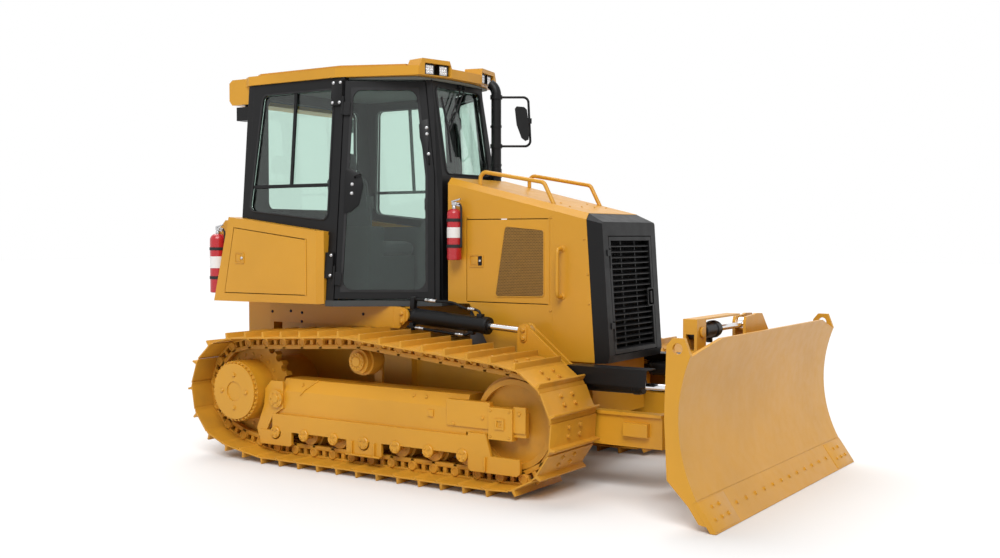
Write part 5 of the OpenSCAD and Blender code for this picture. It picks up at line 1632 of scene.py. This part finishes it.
@dataclass
class Hydraulics:
    """Glands, lines and pin plates of the lift, angle and tilt cylinders."""

    lift_barrel: Flat = (55.0, 700.0)
    angle_barrel: Flat = (50.0, 487.0)
    tilt_barrel: Flat = (46.0, 283.0)
    collar_at: float = 78.0
    head_length: float = 52.0
    pin_face: float = -558.0
    routes: tuple[tuple[float, tuple[Point, ...]], ...] = (
        (34, ((70, -15, 118), (410, -15, 128), (500, -15, 98), (590, -15, 100), (626, -10, 88),
              (626, -5, 50))),
        (30, ((40, -30, -74), (440, -30, -80), (532, -30, -78), (566, -22, -58), (566, -10, -34))),
    )
    ports: tuple[tuple[Point, Point], ...] = (
        ((606, -24, 44), (648, 16, 74)), ((546, -30, -72), (588, 10, -42)),
        ((58, -40, -96), (92, -4, -44)), ((52, -34, 44), (88, 6, 134)),
    )
    sleeves: tuple[Box, ...] = ((170, 262, -15, 122.5), (530, 588, -15, 99.5), (110, 180, -30, -75.5),
                                (450, 516, -30, -80))

    def gland(self, shape: Shape, place: Matrix, radius: float, end: float) -> None:
        """Adds a barrel's head with its wiper ring, and the collar at its foot.

        Args:
            shape: Shape that they are added to.
            place: Frame of the cylinder, X along its rod.
            radius: Outer radius of the barrel.
            end: Where the barrel ends along X.
        """
        head = place @ Matrix.Translation((end - self.head_length, 0, 0)) @ ALONG
        shape.lathe([(radius - 1, 0), (radius + 5, 4), (radius + 5, 40), (radius + 2, 44), (radius + 2, 52),
                     (radius * 0.72, 54), (radius * 0.72, 62), (radius * 0.46, 63)], head, 40)
        foot = place @ Matrix.Translation((self.collar_at, 0, 0)) @ ALONG
        shape.lathe([(radius - 1, 0), (radius + 3, 3), (radius + 3, 22), (radius - 1, 26)], foot, 40)

    def lift(self, shop: Workshop, side: Side) -> None:
        """Dresses one lift cylinder.

        Args:
            shop: Where pieces are handed over.
            side: Side of the machine.
        """
        body, place = f"lift_barrel_{side.word}", flip(side) @ LIFT
        shape = Shape()
        self.gland(shape, place, *self.lift_barrel)
        for bend, route in self.routes:
            shape.tube(list(route), 9, 12, bend, place)
        for low, high in self.ports:
            shape.block(low, high, 4, place)
        shop.put(shape, f"lift_lines_{side.word}", BLACK, body)
        sleeves = Shape()
        for x0, x1, y, z in self.sleeves:
            seat = place @ Matrix.Translation((x0, y, z)) @ ALONG
            reach = x1 - x0
            sleeves.lathe([(9, 0), (12, 2), (12, reach * 0.35), (14, reach * 0.38), (14, reach * 0.6),
                           (12, reach * 0.63), (12, reach - 2), (9, reach)], seat, 12)
        shop.put(sleeves, f"lift_sleeves_{side.word}", STEEL, body)

    def pin_plate(self, bolts: Bolts, body: str, x: float, z: float) -> Shape:
        """A long plate with round ends and two bolts that keeps a pin from turning, on both sides.

        Args:
            bolts: Where bolts are gathered.
            body: Body that carries the bolts.
            x: Place of the pin along the machine.
            z: Height of the pin.

        Returns:
            The plates on both sides.
        """
        face = wall(self.pin_face)
        outline = rectangle(x - 25, z - 72, x + 25, z + 34, 24, 8)
        bolts.pair(Head.COVER, spots(face, (x, z + 8, 9), (x, z - 46, 9)), body)
        return Shape().prism(outline, -1, 9, 2, face).mirrored()

    def dress(self, shop: Workshop, bolts: Bolts) -> None:
        """Makes the fittings of every cylinder.

        Args:
            shop: Where pieces are handed over.
            bolts: Where bolts are gathered.
        """
        for side in Side:
            self.lift(shop, side)
        shop.put(self.pin_plate(bolts, "machine", -440, 1036), "lift_pin_plates", PAINT)
        shop.put(self.pin_plate(bolts, "lift_frame", 556, 965), "tower_pin_plates", PAINT, "lift_frame")
        angle = Shape()
        self.gland(angle, ANGLE, *self.angle_barrel)
        angle.block((340, -16, 40), (378, 18, 70), 4, ANGLE)
        angle.tube([(358, 0, 60), (362, 0, 84), (400, 0, 92), (426, 6, 80), (430, 10, 44)], 8, 12, 18, ANGLE)
        shop.put(angle.mirrored(), "angle_lines", BLACK, "lift_frame")
        tilt = Shape()
        self.gland(tilt, TILT, *self.tilt_barrel)
        tilt.block((236, 4, -78), (268, 34, -40), 4, TILT)
        tilt.tube([(90, 20, -58), (236, 20, -60)], 8, 12, place=TILT)
        tilt.block((82, 4, -72), (104, 34, -38), 4, TILT)
        shop.put(tilt, "tilt_lines", BLACK, "tilt_barrel")


@dataclass
class BladeFittings:
    """Bolts and wear plates of the blade's edge, and the caps of its pins."""

    tip: Flat = (2174.0, 0.0)
    up_edge: Flat = (-0.5695, 0.822)
    bolt_row: float = 106.0
    bolt_step: float = 142.0
    per_row: int = 12
    bit: Flat = (868.0, 1213.0)
    bit_proud: float = 3.0
    bit_bolts: tuple[Flat, ...] = ((-90, 72), (0, 72), (90, 72), (-45, 142), (45, 142))

    def edge_seat(self, y: float, up: float, out: float = 0.0) -> Matrix:
        """A place on the cutting edge's front, up along it from its tip.

        Args:
            y: Place across the machine.
            up: Distance up from the tip.
            out: Distance out of the front.

        Returns:
            The place, with Z out of the front.
        """
        a, b = self.up_edge
        at = (self.tip[0] + a * up + b * out, y, self.tip[1] + b * up - a * out)
        return facing(at, Y_AXIS, Vector((b, 0, -a)))

    def dress(self, shop: Workshop, bolts: Bolts) -> None:
        """Makes the bolts, the end bits and the caps of the tilt pin.

        Args:
            shop: Where pieces are handed over.
            bolts: Where bolts are gathered.
        """
        first = -self.bolt_step * (self.per_row - 1) / 2
        bolts.add("blade_body", Head.PLATE,
                  [self.edge_seat(first + k * self.bolt_step, self.bolt_row) for k in range(self.per_row)])
        bits = Shape()
        for side in Side:
            low, high = sorted(side.value * edge for edge in self.bit)
            bits.prism(rectangle(low, 10, high, 192), -2, self.bit_proud, 1, self.edge_seat(0, 0))
            bolts.add("blade_body", Head.PLATE, [self.edge_seat((low + high) / 2 + along, up, self.bit_proud)
                                                 for along, up in self.bit_bolts])
        shop.put(bits, "end_bits", PAINT, "blade_body")
        caps = Shape()
        for x, out in ((1843, -1), (1937, 1)):
            seat = facing((x, -870, 1040), Y_AXIS, Vector((out, 0, 0)))
            caps.lathe([(30, -1), (30, 6), (26, 9), (4, 9)], seat)
        shop.put(caps, "tilt_pin_caps", PAINT, "blade_body")


@dataclass
class Bodywork:
    """Bolts of the deck, latches of the side boxes, the tank's cap and the stack's clamps."""

    deck_y: float = -560.0
    box_y: float = -850.0
    latch: Box = (-1764.0, 1378.0, -1672.0, 1460.0)
    filler: Point = (-1960.0, 330.0, 1700.0)
    stack: Point = (-219.5, 287.0, 0.0)
    clamp_heights: Flat = (2096.0, 2380.0)

    def box_door(self, shop: Workshop, side: Side) -> None:
        """Dresses one side box door with its latch and lock.

        Args:
            shop: Where pieces are handed over.
            side: Side of the machine.
        """
        body, face = f"box_door_{side.word}", flip(side) @ wall(self.box_y)
        x0, z0, x1, z1 = self.latch
        shape = Shape().frame(self.latch, 8, -1, 5, face)
        shape.block((x0 + 14, z0 + 16, -1), (x1 - 40, z1 - 16, 4), 1, face)
        shop.put(shape, f"box_latch_{side.word}", PAINT, body)
        lock = Shape().lathe([(11, -1), (11, 5), (8, 8), (2, 8)],
                             face @ Matrix.Translation((x1 - 24, (z0 + z1) / 2, 0)), 16)
        shop.put(lock, f"box_lock_{side.word}", STEEL, body)

    def dress(self, shop: Workshop, bolts: Bolts) -> None:
        """Makes the fittings of the body.

        Args:
            shop: Where pieces are handed over.
            bolts: Where bolts are gathered.
        """
        for side in Side:
            self.box_door(shop, side)
        seats = spots(wall(self.deck_y), (-1676, 1014), (-1488, 1024), (-1377, 1015), (-1379, 950),
                      (-791, 1026))
        bolts.pair(Head.DARK, seats)
        place = Matrix.Translation(self.filler)
        cap = Shape().lathe([(64, -2), (64, 22), (58, 30), (30, 34), (4, 34)], place, 32)
        cap.block((-1990, 324, 1730), (-1930, 336, 1746), 4)
        shop.put(cap, "tank_cap", BLACK)
        clamps = Shape()
        place = Matrix.Translation(self.stack)
        for z in self.clamp_heights:
            clamps.lathe([(36, z), (41, z), (41, z + 16), (36, z + 16)], place, 32)
            clamps.block((-262, 270, z - 2), (-250, 304, z + 18), 3)
            clamps.block((-262, 282, z + 2), (-226, 292, z + 14), 2)
        shop.put(clamps, "stack_clamps", BLACK)


@dataclass
class Studio:
    """Camera, floor and light."""

    camera_at: Point = (4.6207, -6.9968, 1.5812)
    camera_turn: Point = (87.9006, 0.0, 33.4225)
    lens: float = 42.41
    sensor: float = 36.0
    sight: float = 400.0
    floor_half: float = 60.0
    floor_z: float = -0.002
    sky: float = 0.22
    glow: float = 0.02
    floor_colour: Colour = (0.82, 0.82, 0.82)
    lamps: tuple[tuple[str, Point, float, float], ...] = (
        ("key_lamp", (3.4, -6.0, 7.0), 36.0, 2.5),
        ("top_lamp", (-3.5, 2.5, 8.0), 44.0, 1.75),
    )

    def camera(self) -> None:
        """Makes the camera at the photograph's viewpoint."""
        data = bpy.data.cameras.new("camera")
        data.lens = self.lens
        data.sensor_width = self.sensor
        data.clip_end = self.sight
        made = linked("camera", data)
        made.location = self.camera_at
        made.rotation_euler = Euler([math.radians(a) for a in self.camera_turn])
        bpy.context.scene.camera = made

    def seen(self, graph: Graph) -> bpy.types.NodeSocket:
        """1 for rays that show the background: from the camera, a mirror or glass.

        Args:
            graph: Graph that uses it.

        Returns:
            The socket with the value.
        """
        path = graph.add("LightPath")
        direct = graph.join("Math", path.outputs["Is Camera Ray"], path.outputs["Is Glossy Ray"], "MAXIMUM")
        through = path.outputs["Is Transmission Ray"]
        return graph.join("Math", direct.outputs[0], through, "MAXIMUM").outputs[0]

    def floor(self) -> None:
        """A pale floor that keeps the machine's shadow."""
        half = self.floor_half
        data = bpy.data.meshes.new("floor")
        corners = rectangle(-half, -half, half, half)
        data.from_pydata([(x, y, self.floor_z) for x, y in corners], [], [(0, 1, 2, 3)])
        made = linked("floor", data)
        graph = Graph("pale_floor")
        matt = graph.add("BsdfDiffuse", Color=rgba(self.floor_colour))
        glow = graph.add("Emission", Strength=graph.ranged(self.seen(graph), (0.0, 1.0), (0.0, self.glow)))
        data.materials.append(graph.close(graph.join("AddShader", matt.outputs[0], glow.outputs[0])))

    def world(self) -> None:
        """White behind the machine, and an even light from all round."""
        world = bpy.data.worlds.new("studio")
        world.use_nodes = True
        bpy.context.scene.world = world
        graph = Graph("studio_sky")
        graph.tree = world.node_tree
        graph.tree.nodes.clear()
        output = graph.tree.nodes.new("ShaderNodeOutputWorld")
        strength = graph.ranged(self.seen(graph), (0.0, 1.0), (self.sky, 1.0))
        sky = graph.add("Background", Color=(1.0, 1.0, 1.0, 1.0), Strength=strength)
        graph.tree.links.new(sky.outputs[0], output.inputs["Surface"])
        bpy.data.materials.remove(graph.material)

    def lamp(self, name: str, at: Point, spread: float, power: float) -> None:
        """A broad, even lamp that shines from a point towards the origin.

        Args:
            name: Name of the lamp.
            at: Where the light comes from.
            spread: Angle that the lamp fills, in degrees, which softens its shadows.
            power: Light that reaches a surface that faces it, in watts a square metre.
        """
        data = bpy.data.lights.new(name, "SUN")
        data.angle = math.radians(spread)
        data.energy = power
        made = linked(name, data)
        made.location = at
        made.rotation_euler = (-Vector(at)).to_track_quat("-Z", "Y").to_euler()

    def build(self) -> None:
        """Makes the whole studio."""
        self.camera()
        self.floor()
        self.world()
        for lamp in self.lamps:
            self.lamp(*lamp)
        bpy.context.scene.view_settings.view_transform = "Standard"


@dataclass
class Painting:
    """Which CAD nodes take which finish."""

    yellow: tuple[str, ...] = (
        "main_frame", "final_drives", "hood", "radiator_guard", "cab_roof", "handrails", "side_boxes",
        "rear_tank", "engine_door_right", "engine_door_left", "box_door_right", "box_door_left", "c_frame",
        "blade_carrier", "blade", "cutting_edge", "roller_frames",
    )
    track: tuple[str, ...] = ("track_right", "track_left", "sprockets", "idlers", "track_rollers")
    black: tuple[str, ...] = (
        "grille_surround", "cab_sides", "cab_front", "cab_rear", "exhaust_stack", "door_mirror", "work_lamps",
        "cab_door_right", "cab_door_left", "grille_door", "lift_barrel_right", "lift_barrel_left",
        "angle_barrel_right", "angle_barrel_left", "tilt_barrel", "cylinder_guards",
    )
    lining: tuple[str, ...] = ("cab_floor", "seat_base", "controls")
    chrome: tuple[str, ...] = (
        "lift_rod_right", "lift_rod_left", "angle_rod_right", "angle_rod_left", "tilt_rod",
    )
    glass: tuple[str, ...] = (
        "windscreen", "side_windows", "rear_window", "door_glass_right", "door_glass_left",
    )

    def apply(self, shop: Workshop) -> None:
        """Paints every CAD node.

        Args:
            shop: Where pieces are handed over.
        """
        for finish, nodes in (
            (PAINT, self.yellow), (TRACK_PAINT, self.track), (BLACK, self.black), (TRIM, self.lining),
            (CHROME, self.chrome), (GLASS, self.glass), (RED, ("extinguishers",)), (IRON, ("engine_block",)),
            (RUBBER, ("radiator_core",)), (CLOTH, ("seat_cushion", "seat_back")),
        ):
            shop.paint(finish, *nodes)


def main() -> None:
    """Builds the studio and every piece."""
    logging.basicConfig(level=logging.INFO, format="%(name)s: %(message)s")
    shop = Workshop(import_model())
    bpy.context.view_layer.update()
    Studio().build()
    Painting().apply(shop)
    Chain().dress(shop)
    bolts = Bolts()
    Undercarriage().dress(shop, bolts)
    EngineBay().dress(shop, bolts)
    CabFittings().dress(shop, bolts)
    Hydraulics().dress(shop, bolts)
    BladeFittings().dress(shop, bolts)
    Bodywork().dress(shop, bolts)
    front = Extinguisher("front_extinguisher", at=(-84, -436), radius=50, low=1415, high=1838, carrier_y=-380)
    front.dress(shop, "extinguishers")
    rear = Extinguisher("rear_extinguisher", at=(-2095, -706), radius=62, low=1150, high=1670, carrier_y=-640)
    rear.dress(shop)
    Seat().dress(shop)
    bolts.fix(shop)


if __name__ == "__main__":
    main()
